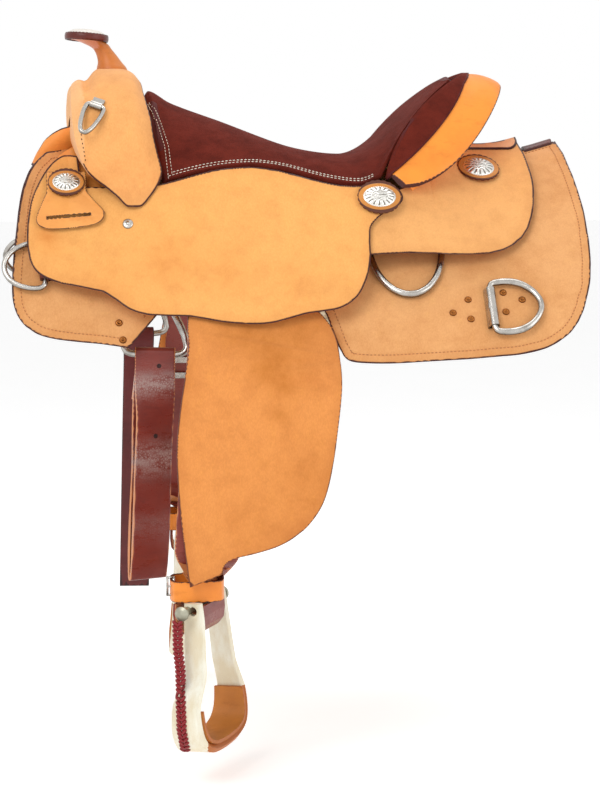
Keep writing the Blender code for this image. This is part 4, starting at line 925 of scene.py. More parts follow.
def full_ridge(points, *_):
    """Fills out the padded ridge of the cantle, forward and up, between its foot and top."""
    foot, top = np.array(RIDGE_FOOT), np.array(RIDGE_TOP)
    length = float(np.linalg.norm(top - foot))
    along = (top - foot) / length
    ahead = np.array([-along[1], along[0]])
    flat = points[:, [0, 2]] - foot
    share = np.clip(flat @ along / length, 0, 1)
    off = flat @ ahead
    behind = np.clip(1 + off / RIDGE_REAR_REACH, 0, 1)
    near = np.where(off > 0, bell(off, 0, RIDGE_FRONT_REACH), behind)
    rise = RIDGE_FULL * np.sin(math.pi * share) ** RIDGE_ROUND * near
    moved = points.copy()
    moved[:, 0] += rise * ahead[0]
    moved[:, 2] += rise * ahead[1]
    return moved


fine("cantle_cover", 3, cantle_leather, full_ridge)

# --- Seat ---
# A padded seat in dark brown suede that runs up over the front of the cantle, bound with a
# darker strip at its border and held by a double row of white thread.
SUEDE = {"Nap": (112, 36, 22), "Dark": (52, 16, 12), "Band": (84, 26, 24)}
SEAT_BAND = 0.0065
FACING_BAND = 0.0022
FACING_LIFT = 0.0004
FACING_THICK = 0.0012
FACING_LOW = (0.02, 0.112)  # the height where the facing's rear line starts to bow, and its run
FACING_FOOT_X = 0.079
FACING_SLANT = 0.94
FACING_BOW = 0.042
SEAT_ROWS = ((0.0034, -0.1775), (0.0072, -0.1725))  # inset of each row and the x it starts at
SEAT_ROW_END_X = 0.073
FRONT_ROW = (
    (-0.1995, -0.0455, 0.1065), (-0.1942, -0.0591, 0.0974), (-0.1886, -0.0766, 0.0832),
    (-0.1811, -0.103, 0.0522), (-0.1797, -0.1156, 0.0327), (-0.1785, -0.1277, 0.0149),
)
FRONT_ROW_GAP = 0.0046
FRONT_ROW_RISE = 0.0055  # how far the inner row's last point is above the outer one's
FRONT_ROW_DRAWN = 0.97


def suede_look(tree, given):
    """Suede: a fine nap brushed light and dark, with a smoother dark strip at its border."""
    where = place(tree)
    sweep = spots(stretched(where, 0.75, 1.0, 1.0), 40.0, 7.0, 0.72)
    fibre = spots(where, 1300.0, 3.0, 0.7)
    inside = ramp(minus(stored(tree, "rim"), given["Band Width"]), -0.0004, 0.0004)
    base = mixed(ramp(sweep, 0.42, 0.68, 0.0, 0.5), given["Nap"], given["Dark"])
    base = mixed(ramp(fibre, 0.35, 0.6, 0.5, 0.0), base, given["Dark"])
    base = mixed(inside, given["Band"], base)
    rough = plus(ramp(sweep, 0.3, 0.7, 0.78, 0.95), ramp(inside, 0.0, 1.0, -0.3, 0.0))
    height = plus(fibre, times(sweep, 0.8))
    return base, rough, plus(height, ramp(inside, 0.0, 1.0, 1.6, 0.0))


NAPPED = effect("suede", suede_look, ("Nap", "Dark", "Band"), ("Band Width",))


def cut(points, faces, outside):
    """The part of a surface where outside is below zero, cut cleanly along that line."""
    points = list(points)
    kept, crossing = [], {}

    def between(a, b):
        key = (min(a, b), max(a, b))
        if key not in crossing:
            share = outside[key[0]] / (outside[key[0]] - outside[key[1]])
            crossing[key] = len(points)
            points.append(points[key[0]] + (points[key[1]] - points[key[0]]) * share)
        return crossing[key]

    for face in faces.tolist():
        ring = []
        for a, b in zip(face, face[1:] + face[:1]):
            if outside[a] < 0:
                ring.append(a)
            if (outside[a] < 0) != (outside[b] < 0):
                ring.append(between(a, b))
        kept += [[ring[0], ring[k], ring[k + 1]] for k in range(1, len(ring) - 1)]
    used, back = np.unique(np.array(kept), return_inverse=True)
    return np.array(points)[used], back.reshape(-1, 3)


def shell(name, points, faces, lift, thick, look):
    """A thin piece from an open surface, lifted and given a thickness and its own rim."""
    up = outward(points, faces)
    once = {tuple(e) for e in face_sides(faces).tolist()}
    border = np.array([e for e in once if (e[1], e[0]) not in once])
    count = len(points)
    a, b = border.T
    halves = ((b, a, a + count), (b, a + count, b + count))
    wall = np.concatenate([np.stack(half, axis=1) for half in halves])
    both = np.concatenate([points + up * (lift + thick), points + up * lift])
    made = mesh_object(name, both, np.concatenate([faces, faces[:, ::-1] + count, wall]))
    rim = rim_distance(points, border, np.ones(len(border), bool))
    marked(made, "rim", np.concatenate([rim, np.zeros(count)]))
    return fixed(made, look, "saddle")


def laid_over(name, under, take, outside, lift, thick, look):
    """A thin piece laid over part of another: the faces that take() picks, cut off where
    outside() is above zero."""
    points, faces = surfaces[under][:2]
    faces = faces[take(points[faces].mean(1), unit(face_normals(points, faces)))]
    points, faces = cut(points, faces, outside(points))
    return shell(name, points, faces, lift, thick, look)


def suede(name, band):
    """The seat's suede with a border band of some width."""
    return material(name, NAPPED, {**SUEDE, "Band Width": band}, 0.0005, Specular_IOR_Level=0.15)


facing_suede = suede("facing suede", FACING_BAND)
white_thread = material("white thread", THREAD, {"Thread": (240, 232, 216)}, 0.0002)
cushion = fine("seat_cushion", 3, suede("suede", SEAT_BAND), full_ridge)
rows = []
for inset, start in SEAT_ROWS:
    rows += inset_rows("seat_cushion", (0, 0, 1), inset, lambda p: start < p.x < SEAT_ROW_END_X)
for line in (FRONT_ROW, other_side(FRONT_ROW)):
    x, y, z = line[-1]
    inner = [(x + FRONT_ROW_GAP, y, z) for x, y, z in line[:-1]]
    inner.append((x + FRONT_ROW_GAP, y * FRONT_ROW_DRAWN, z + FRONT_ROW_RISE))
    rows += [on_skin("seat_cushion", line), on_skin("seat_cushion", inner)]
sewn("seat_stitching", rows, white_thread)


def past_facing(points):
    """Above zero behind the line where the suede ends on the cantle roll."""
    x, _, z = points.T
    share = fade(z, *FACING_LOW)
    return x - (FACING_FOOT_X + FACING_SLANT * z + FACING_BOW * share * (1 - share))


core = skin_of(*solid_patches("tree_cantle")[:2])


def away_from_core(middles, normals):
    """Faces that look away from the cantle board."""
    near = np.array([core.find_nearest(Vector(p))[0] for p in middles])
    return ((middles - near) * normals).sum(1) > 0


laid_over(
    "cantle_facing", "cantle_cover", away_from_core, past_facing, FACING_LIFT, FACING_THICK,
    facing_suede,
)

# --- Latigo keeper ---
# A slotted tab under a concho on the near side that stores the end of the latigo. It is cut
# from stiff smooth leather with dyed edges.
keeper_leather = smooth_leather(
    "keeper leather", (240, 164, 84), (206, 122, 54), (66, 24, 18), 0.0009, 0.5
)
fine("latigo_keeper_left", 3, keeper_leather)

# --- Gullet lip and bar covers ---
# Smooth orange leather drawn over the front of the tree: it shows as an arched lip between
# the skirt and the swell, and on each bar under the swell's lower edge.
LIP_OUTER = (
    (-0.3359, -0.050, 0.0328), (-0.3308, -0.050, 0.0476), (-0.3232, -0.050, 0.0605),
    (-0.3145, -0.050, 0.0685), (-0.3046, -0.050, 0.0746), (-0.2929, -0.050, 0.0784),
    (-0.2800, -0.050, 0.0790),
)
LIP_INNER = (
    (-0.3370, -0.079, 0.0270), (-0.3310, -0.070, 0.0350), (-0.3232, -0.062, 0.0405),
    (-0.3145, -0.057, 0.0430), (-0.3046, -0.052, 0.0460), (-0.2929, -0.046, 0.0520),
    (-0.2800, -0.046, 0.0560),
)
LIP_THICK = 0.0030
LIP_STEP = 0.003
LIP_STEPS = 14
LIP_BOW = (-0.0035, -0.0035, 0.0)
BAR_COVER_REAR_X = -0.195
BAR_COVER_LIFT = 0.0002
BAR_COVER_THICK = 0.0006
BAR_TOP = -0.3  # a face of the bar that looks up more than this is covered
cover_leather = smooth_leather(
    "cover leather", (246, 156, 70), (204, 112, 42), (66, 24, 18), 0.0016, 0.5
)


def lip(name, sign):
    """A sheet between the outer and the inner line, bowed a little towards the front."""
    outer = spaced(np.array(LIP_OUTER), LIP_STEP)
    count = len(outer)
    run = np.linspace(0, 1, len(LIP_INNER))
    share = np.linspace(0, 1, count)
    inner = np.stack([np.interp(share, run, line) for line in zip(*LIP_INNER)], axis=1)
    across = np.linspace(0, 1, LIP_STEPS)[:, None, None]
    sheet = outer + (inner - outer) * across + np.array(LIP_BOW) * np.sin(math.pi * across)
    sheet[..., 1] *= -sign
    grid = np.arange(LIP_STEPS * count).reshape(LIP_STEPS, count)
    here, below, beyond, beside = grid[:-1, :-1], grid[1:, :-1], grid[1:, 1:], grid[:-1, 1:]
    halves = ((here, below, beyond), (here, beyond, beside))
    faces = np.concatenate([np.stack([q.ravel() for q in half], axis=1) for half in halves])
    if sign > 0:
        faces = faces[:, ::-1]
    shell(name, sheet.reshape(-1, 3), faces, 0.0, LIP_THICK, cover_leather)


for side, sign in SIDES.items():
    lip(f"gullet_lip_{side}", sign)
    points, faces, part, _ = solid_patches(f"tree_bar_{side}")
    for _ in range(2):
        points, faces, part = halve(points, faces, part)
    surfaces[f"tree_bar_{side}"] = (points, faces)
    laid_over(
        f"bar_cover_{side}", f"tree_bar_{side}", lambda middles, normals: normals[:, 2] > BAR_TOP,
        lambda p: p[:, 0] - BAR_COVER_REAR_X, BAR_COVER_LIFT, BAR_COVER_THICK, cover_leather,
    )

# --- Conchos ---
# Domed silver plate cut with a rope border, rays and scrolls, each on a scalloped rosette of
# leather that is a little wider than the silver.
CONCHOS = {
    "concho_seat_left": 0.70, "concho_seat_right": 0.70, "concho_rear_left": 0.88,
    "concho_rear_right": 0.88, "concho_keeper": 0.74,
}  # how tall each is to its width
ROSETTE_OVER = 1.16  # the rosette's radius to the silver's
SCALLOPS = 22
SCALLOP_DEPTH = 0.045
ROSETTE_THICK = 0.0022


def engraved_look(tree, given):
    """Silver cut with a rope border, a ring of rays and scrolls, dark in the cuts."""
    disc = stored(tree, "disc", "Vector")
    apart = node("SeparateXYZ", {"Vector": disc}).outputs
    radius = node("VectorMath", {0: disc}, operation="LENGTH").outputs["Value"]
    angle = maths("ARCTAN2", apart["Y"], apart["X"])

    def ring(pattern, middle, half, end):
        """The pattern in a ring about one radius, full to half and gone at end."""
        away = maths("ABSOLUTE", minus(radius, middle))
        return times(pattern, ramp(away, half, end, 1.0, 0.0))

    rope = maths("SINE", plus(times(angle, 44.0), times(radius, 30.0)))
    rays = maths("SINE", times(angle, 16.0))
    waves = {"Vector": disc, "Scale": 2.2, "Distortion": 9.0, "Detail": 2.0}
    scroll = node("TexWave", waves, wave_type="RINGS").outputs["Fac"]
    scroll = times(minus(times(scroll, 2.0), 1.0), ramp(radius, 0.42, 0.46, 1.0, 0.0))
    cuts = plus(plus(ring(rope, 0.9, 0.05, 0.08), ring(rays, 0.62, 0.14, 0.17)), scroll)
    base = mixed(ramp(cuts, -0.8, -0.1, 0.85, 0.0), given["Silver"], given["Cuts"])
    scratch = spots(disc, 34.0, 4.0, 0.7)
    rough = plus(ramp(scratch, 0.3, 0.7, 0.2, 0.38), ramp(cuts, -0.8, 0.0, 0.2, 0.0))
    return base, rough, ramp(cuts, -0.9, 0.6)


ENGRAVED = effect("engraved silver", engraved_look, ("Silver", "Cuts"))
silver_colours = {"Silver": (230, 228, 222), "Cuts": (92, 84, 74)}
silver = material("engraved silver", ENGRAVED, silver_colours, 0.0005, Metallic=1.0)
rosette_leather = smooth_leather(
    "rosette leather", (214, 140, 62), (140, 84, 36), (84, 40, 22), 0.0011, 0.5
)


def spread_of(points):
    """The centre of some points, and the three ways they spread, the least first."""
    centre = points.mean(0)
    return centre, np.linalg.eigh(np.cov((points - centre).T))[1].T


def rosette(name, centre, width, height, out, base, grow, tall):
    """A scalloped disc of leather that stands out to the height of base."""
    b = bmesh.new()
    bmesh.ops.create_circle(b, cap_ends=True, cap_tris=True, segments=SCALLOPS * 6, radius=1.0)
    for v in b.verts:
        angle = math.atan2(v.co.y, v.co.x)
        v.co *= 1.0 - SCALLOP_DEPTH * (1 - abs(math.sin(angle * SCALLOPS / 2)))
    top = bmesh.ops.extrude_face_region(b, geom=list(b.faces))["geom"]
    top = [g for g in top if isinstance(g, bmesh.types.BMVert)]
    bmesh.ops.translate(b, verts=top, vec=(0, 0, 1))
    bmesh.ops.recalc_face_normals(b, faces=b.faces)
    for v in b.verts:
        x, y, z = v.co
        flat = centre + width * x * grow + height * y * grow * (tall + 1) / 2
        v.co = Vector(flat + out * (base - ROSETTE_THICK * (1 - z)))
    mesh = bpy.data.meshes.new(name)
    b.to_mesh(mesh)
    b.free()
    plane = np.stack([width, height / tall], axis=1)
    off = [math.hypot(*((np.array(v.co[:]) - centre) @ plane)) for v in mesh.vertices]
    made = placed(name, mesh)
    marked(made, "rim", np.array([1.0 - r / grow for r in off]) * grow)
    fixed(made, rosette_leather, "saddle")


def concho(name, tall):
    """Makes a concho oval, marks its face for the engraver and puts a rosette under it."""
    points = solid_patches(name)[0]
    centre, (out, _, _) = spread_of(points)
    out = out * (1 if out @ (centre - np.array([centre[0], 0.0, centre[2] - 0.1])) > 0 else -1)
    height = unit(np.array([0.0, 0.0, 1.0]) - out * out[2])
    width = np.cross(height, out)
    radius = float(np.abs((points - centre) @ width).max())

    def oval(found, *_):
        lift = (found - centre) @ height
        return found + height * ((tall - 1) * lift)[:, None]

    made = fine(name, 2, silver, oval)
    local = np.array([v.co[:] for v in made.data.vertices]) - centre
    across, up = local @ width / radius, local @ height / (radius * tall)
    held = made.data.attributes.new("disc", "FLOAT_VECTOR", "POINT")
    disc = np.stack([across, up, np.zeros(len(local))], axis=1)
    held.data.foreach_set("vector", disc.astype(np.float32).ravel())
    base = float(np.quantile((points - centre) @ out, 0.5))
    rosette(name + "_rosette", centre, width, height, out, base, radius * ROSETTE_OVER, tall)


for name, tall in CONCHOS.items():
    concho(name, tall)

# --- Dees, clips and the straps that hold them ---
# Rings of bent stainless wire. Rear and breast rings hang in burgundy straps, skirt and fork
# rings in folded clips, and rivets go through strap, clip and skirt.
latigo_leather = smooth_leather(
    "latigo leather", (132, 54, 44), (88, 30, 28), (206, 132, 82), 0.0009, 0.30
)
strap_leather = smooth_leather(
    "strap leather", (120, 44, 38), (84, 28, 26), (70, 24, 20), 0.0010, 0.36
)
WIRE_MORE = 0.0004
BOW_MORE = 0.24


def stout(points, faces, _):
    """A little stouter wire, as heavy as the ring looks."""
    return points + outward(points, faces) * WIRE_MORE


def rounder(points, *_):
    """A fuller bow on the skirt dee, away from its straight bar."""
    centre, (_, middle, most) = spread_of(points)
    up = middle if abs(middle[0]) < abs(most[0]) else most
    run = points[:, 0]
    share = (run - run.min()) / np.ptp(run)
    wide = 1 + BOW_MORE * np.sin(math.pi * np.clip(share, 0, 1)) * share
    return points + ((points - centre) @ up * (wide - 1))[:, None] * up


DEE_SHAPES = {"rear_dee": stout, "breast_dee": None, "skirt_dee": rounder, "fork_dee": stout}
for side in SIDES:
    for name, shape in DEE_SHAPES.items():
        fine(f"{name}_{side}", 2, steel, shape)
    fine(f"skirt_dee_clip_{side}", 2, steel)
    fine(f"fork_dee_clip_{side}", 2, steel)
    for name in ("rear_dee_strap", "breast_dee_strap"):
        fine(f"{name}_{side}", 2, strap_leather)

RIVET = (
    (0.0, 0.0006), (0.0012, 0.0006), (0.0016, 0.0018), (0.0030, 0.0020), (0.0042, 0.0010),
    (0.0045, 0.0), (0.0045, -0.001),
)
SKIRT_RIVETS = (
    (-0.2426, -0.1862, -0.1578), (-0.2385, -0.1951, -0.1775), (0.2238, -0.194, -0.1248),
    (0.2458, -0.2014, -0.1331), (0.2243, -0.2089, -0.1471), (0.18, -0.1959, -0.1329),
    (0.1598, -0.2048, -0.148), (0.1807, -0.2111, -0.155),
)
brass = metal("brass", (158, 98, 48), (58, 32, 16), 0.34)
turned("skirt_rivets", RIVET, both_sides("skirt", *SKIRT_RIVETS), brass)

# --- Front rigging rings ---
# Flat trapezoid rings under the seat jockeys that carry latigo and off billet, in the same
# polished stainless as the dees.
for side in SIDES:
    fine(f"rigging_dee_{side}", 2, steel)

# --- Latigo and off billet ---
# Long straps of burgundy latigo leather with tan raw edges. Bands where the latigo folds get a
# painted highlight on their creases; its three punched holes are dark discs of painted shade.
CREASE_HIGHLIGHT_BANDS = (
    (-0.232, 0.014, 1.0), (-0.322, 0.018, 1.0), (-0.405, 0.012, 0.35),
)  # height and reach of each, and how strong its painted highlight is
HOLES = ((-0.1951, -0.1847, -0.21), (-0.1998, -0.1834, -0.2948), (-0.2085, -0.185, -0.3906))
HOLE_RADIUS = 0.0021
HOLE = (
    (0.0, 0.00005), (HOLE_RADIUS * 0.8, 0.00005), (HOLE_RADIUS, 0.0004),
    (HOLE_RADIUS * 1.3, 0.0002), (HOLE_RADIUS * 1.4, -0.0005),
)


def mark_crease_highlights(made):
    """Marks the bands across a strap where its creases get a painted highlight and a lower
    roughness.
    """
    z = np.array([v.co.z for v in made.data.vertices])
    marked(made, "crease_highlight", sum(share * bell(z, at, reach) for at, reach, share in CREASE_HIGHLIGHT_BANDS))


mark_crease_highlights(fine("latigo", 3, latigo_leather))
# dark burgundy with darker edges: painted shade, as the off billet is on the far side
shaded_billet_leather = smooth_leather(
    "billet leather painted shade", (96, 32, 32), (60, 20, 22), (44, 16, 16), 0.0010, 0.36
)
fine("off_billet", 3, shaded_billet_leather)
# the holes are dark discs of painted shade laid on the strap, not cut through it
hole_shade = smooth_leather("hole painted shade", (58, 18, 16), (30, 10, 10), (40, 14, 12), 0.0, 0.6)
turned("latigo_hole_shades", HOLE, [("latigo", at) for at in HOLES], hole_shade, "latigo")

# --- Fenders and stirrup leathers ---
# Broad rough-out panels that keep the rider's legs off the straps, darkened where they are
# handled. The leathers run behind them, with a buckle each.
fender_leather = rough_leather(
    "fender leather", (232, 152, 80), (190, 112, 52), (186, 108, 34), (96, 48, 28), 0.0010
)
FENDER_MARKS = (
    (-0.073, -0.2116, 0.017, 0.65), (-0.0624, -0.2642, 0.011, 0.75), (-0.048, -0.205, 0.034, 0.5),
    (-0.085, -0.172, 0.026, 0.6), (-0.050, -0.235, 0.014, 0.4), (-0.015, -0.34, 0.05, 0.35),
    (-0.030, -0.160, 0.03, 0.45), (-0.12, -0.165, 0.02, 0.4), (-0.09, -0.40, 0.05, 0.22),
)
FULL_HIGH = (-0.205, 0.085)  # where the rear edge starts to go out, and over what height
FULL_REAR = (-0.05, 0.07)
FULL_OUT = 0.014


def full_top(points, *_):
    """Carries the fender's rear edge out to where it comes from under the jockey."""
    high = fade(points[:, 2], *FULL_HIGH)
    rear = fade(points[:, 0], *FULL_REAR)
    return points + (high**1.5 * rear)[:, None] * np.array([FULL_OUT, 0.0, 0.0])


for side in SIDES:
    handled(fine(f"fender_{side}", 3, fender_leather, full_top), FENDER_MARKS)
    fine(f"stirrup_leather_{side}", 3, latigo_leather)
    fine(f"leather_buckle_{side}", 2, steel)

# --- Hobble straps ---
# Smooth orange straps buckled round each leather just above the stirrup, which hold its two
# thicknesses together.
hobble_leather = smooth_leather(
    "hobble leather", (244, 146, 52), (202, 104, 34), (84, 36, 22), 0.0010, 0.4
)
HOBBLE_TAKE_IN = 0.92
HOBBLE_FORWARD = 0.0045
BUCKLE_SIZE = (0.0075, 0.021)  # width and height of the small frame
BUCKLE_WIRE = 0.0014
BUCKLE_PLACE = (0.0002, 0.006, -0.0075)  # from the strap's front edge, outward and its top
BUCKLE_BARS = (
    ((-1, -1), (1, -1)), ((1, -1), (1, 1)), ((1, 1), (-1, 1)), ((-1, 1), (-1, -1)),
    ((-1, 0), (1.3, 0)),
)


def hung(bolt, sign):
    """Where a stirrup hangs: its bolt's centre, and the ways inward, rearward and up."""
    centre, (_, _, along) = spread_of(bolt)
    along = unit(along * (1.0, 1.0, 0.0))
    along = along * -sign * np.sign(along[1])
    across = np.array([abs(along[1]), -along[0] * np.sign(along[1]), 0.0])
    return centre, np.stack([along, across, [0.0, 0.0, 1.0]])


def taken_in(points, *_):
    """Draws the loop in against the leathers from behind and carries it a little forward."""
    sign = np.sign(points[:, 1].mean())
    bolt = solid_patches("stirrup_bolt_left" if sign < 0 else "stirrup_bolt_right")[0]
    across = hung(bolt, sign)[1][1]
    off = points @ across
    moved = off.min() - HOBBLE_FORWARD + (off - off.min()) * HOBBLE_TAKE_IN
    return points + (moved - off)[:, None] * across


def small_buckle(name, centre, body):
    """A bent wire frame with a tongue, standing across the front end of the strap."""
    wide, tall = BUCKLE_SIZE
    b = bmesh.new()
    for bar in BUCKLE_BARS:
        start, end = [Vector((u * wide / 2, 0, v * tall / 2)) for u, v in bar]
        run = end - start
        turn = run.to_track_quat("Z", "Y").to_matrix().to_4x4()
        bmesh.ops.create_cone(
            b, cap_ends=True, segments=10, radius1=BUCKLE_WIRE, radius2=BUCKLE_WIRE,
            depth=run.length + BUCKLE_WIRE, matrix=Matrix.Translation((start + end) / 2) @ turn,
        )
    bmesh.ops.triangulate(b, faces=b.faces)
    points, faces = taken(b)
    fixed(mesh_object(name, points + np.array(centre), faces), steel, body)


for side, sign in SIDES.items():
    fine(f"hobble_strap_{side}", 3, hobble_leather, taken_in)
    skin = surfaces[f"hobble_strap_{side}"][0]
    x, y, _ = skin[skin[:, 0].argmin()]
    behind, outer, down = BUCKLE_PLACE
    centre = (x + behind, y + sign * outer, skin[:, 2].max() + down)
    small_buckle(f"hobble_buckle_{side}", centre, f"fender_{side}")

# --- Stirrups ---
# Bent wood covered in rawhide, hung on a bolt in the bight of the leather. The tread's
# leather wraps the rear of the foot rest, and a red lace runs down the outer branch.
rawhide_colours = {"Skin": (226, 214, 184), "Streak": (243, 242, 228)}
rawhide = material("stirrup rawhide", SKIN, rawhide_colours, 0.0004)
tread_leather = smooth_leather(
    "tread leather", (203, 128, 53), (150, 84, 34), (176, 98, 38), 0.0006, 0.5
)
BRANCH_LOW = (-0.598, 0.035)  # the height above which a branch is slimmed, and its fade
OUTER_TAKE_IN = 0.27
INNER_TAKE_IN = 0.12
LACE_PATH = (
    (-0.1838, -0.3068, -0.499), (-0.1835, -0.3092, -0.5299), (-0.1812, -0.3126, -0.553),
    (-0.1808, -0.3152, -0.576), (-0.1808, -0.317, -0.599), (-0.1802, -0.3165, -0.6234),
    (-0.1750, -0.3135, -0.650),
)
LACE_APART = 0.0058 * 0.87
LACE_STEP = 0.0050
LACE_SIDE_Y = -0.6  # well outside the left stirrup
LACE_RED = (136, 20, 28)
LACE_STRANDS = (("front", 0.75), ("rear", -0.75))  # each strand's stitches slant their own way
LACE_SIZE = (0.0104, 0.0050, 0.0022)
WRAP_Z = -0.598
WRAP_SHARE = 0.42


def slim_ears(points, *_):
    """Slims each branch above the foot rest, the outer one most, as it looks."""
    low, high = points.min(0), points.max(0)
    centre = (low + high) / 2
    across = np.array([high[0] - low[0], (low[1] - high[1]) * np.sign(-centre[1]), 0.0])
    wide = np.cross(unit(across), np.array([0.0, 0.0, 1.0]))
    off = (points - centre) @ wide
    outer = np.abs(points[:, 1]) > abs(centre[1])
    take = np.where(outer, OUTER_TAKE_IN, INNER_TAKE_IN) * fade(points[:, 2], *BRANCH_LOW)
    return points - (off * take)[:, None] * wide


LOOP_PATH = (
    (-0.0195, 0.0062), (-0.0203, -0.0060), (-0.0185, -0.0190), (-0.0110, -0.0280), (0.0, -0.0312),
    (0.0110, -0.0280), (0.0185, -0.0190), (0.0203, -0.0060), (0.0195, 0.0062),
)  # across and up from the bolt
LOOP_HALF = 0.030
LOOP_THICK = 0.0036
LOOP_STEP = 0.003
LOOP_RIM = 0.004


def leather_loop(name, bolt, body):
    """The bight of the stirrup leather, a wide band that hangs round the bolt."""
    centre, (_, _, along) = spread_of(bolt)
    along = along * np.sign(along[1])
    across = unit(np.cross(along, np.array([0.0, 0.0, 1.0])))
    up = np.cross(across, along)
    line = spaced(np.array([(u, v, 0.0) for u, v in LOOP_PATH]), LOOP_STEP)[:, :2]
    out = unit(np.stack([np.gradient(line[:, 1]), -np.gradient(line[:, 0])], axis=1))
    out *= np.where((out * line).sum(1) < 0, -1, 1)[:, None]
    count = len(line)
    b = bmesh.new()
    corners = []
    for end in (along * LOOP_HALF, -along * LOOP_HALF):
        for ring in (line, line - out * LOOP_THICK):
            points = centre + ring[:, :1] * across + ring[:, 1:] * up + end
            corners.append([b.verts.new(p) for p in points])
    for k in range(count - 1):
        for low, high in ((0, 2), (3, 1), (2, 3), (1, 0)):
            here, there, beyond = corners[low][k], corners[high][k], corners[high][k + 1]
            b.faces.new((here, there, beyond))
            b.faces.new((here, beyond, corners[low][k + 1]))
    for k in (0, count - 1):
        ring = [corners[part][k] for part in (0, 1, 3, 2)]
        b.faces.new(ring[:3])
        b.faces.new((ring[0], ring[2], ring[3]))
    bmesh.ops.recalc_face_normals(b, faces=b.faces)
    b.verts.index_update()
    made = mesh_object(name, *taken(b))
    made.data.shade_flat()
    marked(made, "rim", np.concatenate([np.full(count, LOOP_RIM), np.zeros(count)] * 2))
    fixed(made, latigo_leather, body)


def lace_rows(under):
    """The two strands of lace down the outer branch of the left stirrup."""
    rows = []
    for shift in (-LACE_APART / 2, LACE_APART / 2):
        row = spaced(np.array(LACE_PATH) + np.array([shift, 0.0, 0.0]), LACE_STEP)
        cast = surfaces[under][4].ray_cast
        found = [cast(Vector((x, LACE_SIDE_Y, z)), Vector((0, 1, 0)))[:2] for x, _, z in row]
        row = np.array([at if at is not None else p for (at, _), p in zip(found, row)])
        up = np.array([normal if normal is not None else (0, -1, 0) for _, normal in found])
        rows.append((row, unit(np.gradient(row, axis=0)), up))
    return rows


dull_steel = metal("dull steel", (176, 174, 156), (98, 92, 76), 0.42)
lace_leather = smooth_leather("stirrup lace", LACE_RED, (96, 14, 20), LACE_RED, 0.0, 0.34)
for side, sign in SIDES.items():
    stirrup = fine(f"stirrup_frame_{side}", 2, rawhide, slim_ears)
    stirrup.data.materials.append(tread_leather)
    spread = [v.co.x for v in stirrup.data.vertices]
    low, high = min(spread), max(spread)
    for face in stirrup.data.polygons:
        behind = (face.center.x - low) / (high - low) > WRAP_SHARE
        face.material_index = int(behind and face.center.z < WRAP_Z)
    fine(f"stirrup_tread_{side}", 2, tread_leather)
    fine(f"stirrup_bolt_{side}", 2, dull_steel)
    bolt = surfaces[f"stirrup_bolt_{side}"][0]
    leather_loop(f"leather_loop_{side}", bolt, f"fender_{side}")
    hang = hung(bolt, sign)
    if side == "left":
        rows, first = lace_rows(f"stirrup_frame_{side}"), hang
    turn = first[1].T @ hang[1]
    for (row, ways, normals), (end, slant) in zip(rows, LACE_STRANDS):
        laid = ((row - first[0]) @ turn + hang[0], ways @ turn, normals @ turn)
        piece, body = f"stirrup_lace_{side}_{end}", f"stirrup_{side}"
        sewn(piece, [laid], lace_leather, body, LACE_SIZE, slant, 0.2)

# --- Rear lacing ---
# A dark thong that draws the two skirts together behind the cantle, and a lap of rough-out
# leather on the top of the left rear jockey.
fine("skirt_lacing", 2, binding_leather)

LAP_LOW_Z = 0.0503
LAP_FRONT_X = 0.185
LAP_REAR_X = 0.281
LAP_ROUND = 0.016
LAP_LIFT = 0.0002
LAP_THICK = 0.0024
LAP_UP = 0.2  # the lap lies on faces that look up more than this


def past_lap(points):
    """Above zero outside the lap: below its lower edge or behind its rounded end."""
    low = LAP_LOW_Z - points[:, 2]
    rear = points[:, 0] - LAP_REAR_X
    both = np.hypot(np.maximum(low + LAP_ROUND, 0), np.maximum(rear + LAP_ROUND, 0)) - LAP_ROUND
    return np.maximum(np.maximum(low, rear), both)


lap_leather = rough_leather("rear lap leather", (246, 190, 144), (214, 150, 100), width=0.0020)
laid_over(
    "rear_jockey_lap", "rear_jockey_left",
    lambda middles, normals: (normals[:, 2] > LAP_UP) & (middles[:, 0] > LAP_FRONT_X),
    past_lap, LAP_LIFT, LAP_THICK, lap_leather,
)

# --- Floor, light and camera ---
# A plain pale floor under the hanging stirrups, soft studio light from both sides, and the
# camera where the photographer stood, level with the seat and a little to the front.
FLOOR_Z = -0.70
FLOOR_SIZE = 30.0
FLOOR_GLOW = 0.40
SKY_LIGHT = 0.56
CAMERA_AZIMUTH = math.radians(-7.5)
CAMERA_HEIGHT = math.radians(6.0)
CAMERA_AWAY = 2.8
CAMERA_TARGET = Vector((0.0, 0.0, -0.273))
LENS = 96.9
FILM = 36.0

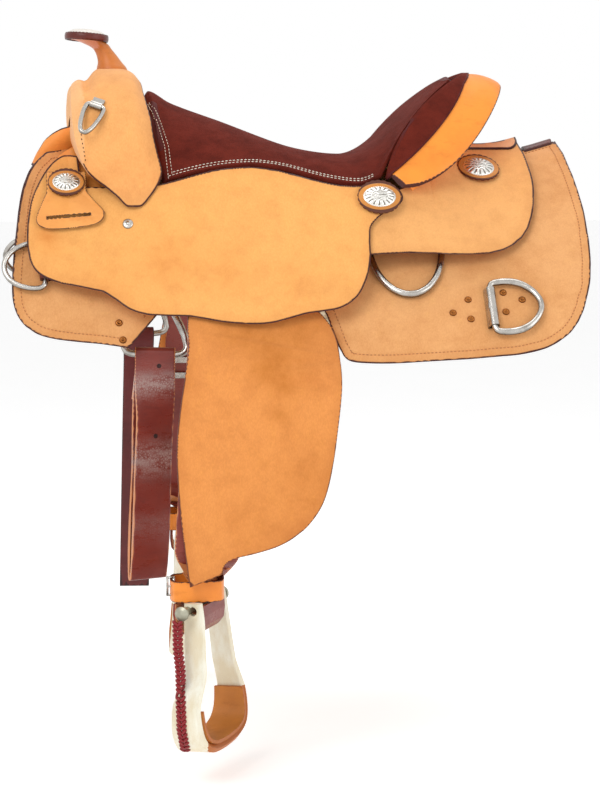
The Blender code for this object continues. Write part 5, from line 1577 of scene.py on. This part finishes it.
b = bmesh.new()
low = Matrix.Translation((0, 0, FLOOR_Z))
bmesh.ops.create_grid(b, x_segments=1, y_segments=1, size=FLOOR_SIZE, matrix=low)
mesh = bpy.data.meshes.new("floor")
b.to_mesh(mesh)
b.free()
floor = placed("floor", mesh)
floor_look = bpy.data.materials.new("floor")
floor_look.use_nodes = True
tree = floor_look.node_tree
shader = tree.nodes["Principled BSDF"].inputs
tree.links.new(ramp(spots(place(tree), 6.0, 2.0), 0.0, 1.0, 0.9, 0.94), shader["Base Color"])
shader["Roughness"].default_value = 0.9
shader["Emission Color"].default_value = (1, 1, 1, 1)
shader["Emission Strength"].default_value = FLOOR_GLOW
floor.data.materials.append(floor_look)

world = bpy.data.worlds.new("studio")
bpy.context.scene.world = world
world.use_nodes = True
tree = world.node_tree
tree.nodes.clear()
path = node("LightPath", {}, tree).outputs
seen = plus(path["Is Camera Ray"], path["Is Glossy Ray"])
seen = plus(seen, path["Is Transmission Ray"])
soft = node("Background", {"Color": (1, 1, 1, 1), "Strength": SKY_LIGHT}, tree)
white = node("Background", {"Color": (1, 1, 1, 1), "Strength": 1.0}, tree)
both = node("MixShader", {0: seen, 1: soft.outputs[0], 2: white.outputs[0]})
node("OutputWorld", {"Surface": both.outputs[0]})


def aimed(name, data, at, way):
    """A lamp or camera at a place, looking one way."""
    made = placed(name, data)
    made.location = at
    made.rotation_mode = "QUATERNION"
    made.rotation_quaternion = way.to_track_quat("-Z", "Y")
    return made


def lamp(name, at, target, size, power):
    """A soft square lamp aimed at a point."""
    data = bpy.data.lights.new(name, "AREA")
    data.shape = "RECTANGLE"
    data.size, data.size_y = size
    data.energy = power
    aimed(name, data, at, Vector(target) - Vector(at))


lamp("key", (-1.5, -2.0, 1.6), (0, 0, -0.2), (1.4, 1.4), 31)
lamp("fill", (2.0, -1.9, 0.6), (0, 0, -0.2), (1.4, 1.8), 14)
lamp("top", (0.2, 0.4, 2.0), (0, 0, 0), (1.6, 1.0), 16)

lens = bpy.data.cameras.new("camera")
lens.lens = LENS
lens.sensor_width = FILM
flat = math.cos(CAMERA_HEIGHT)
back = Vector((
    math.sin(CAMERA_AZIMUTH) * flat, -math.cos(CAMERA_AZIMUTH) * flat, math.sin(CAMERA_HEIGHT),
))
camera = aimed("camera", lens, CAMERA_TARGET + back * CAMERA_AWAY, -back)
bpy.context.scene.camera = camera
bpy.context.scene.view_settings.view_transform = "Standard"
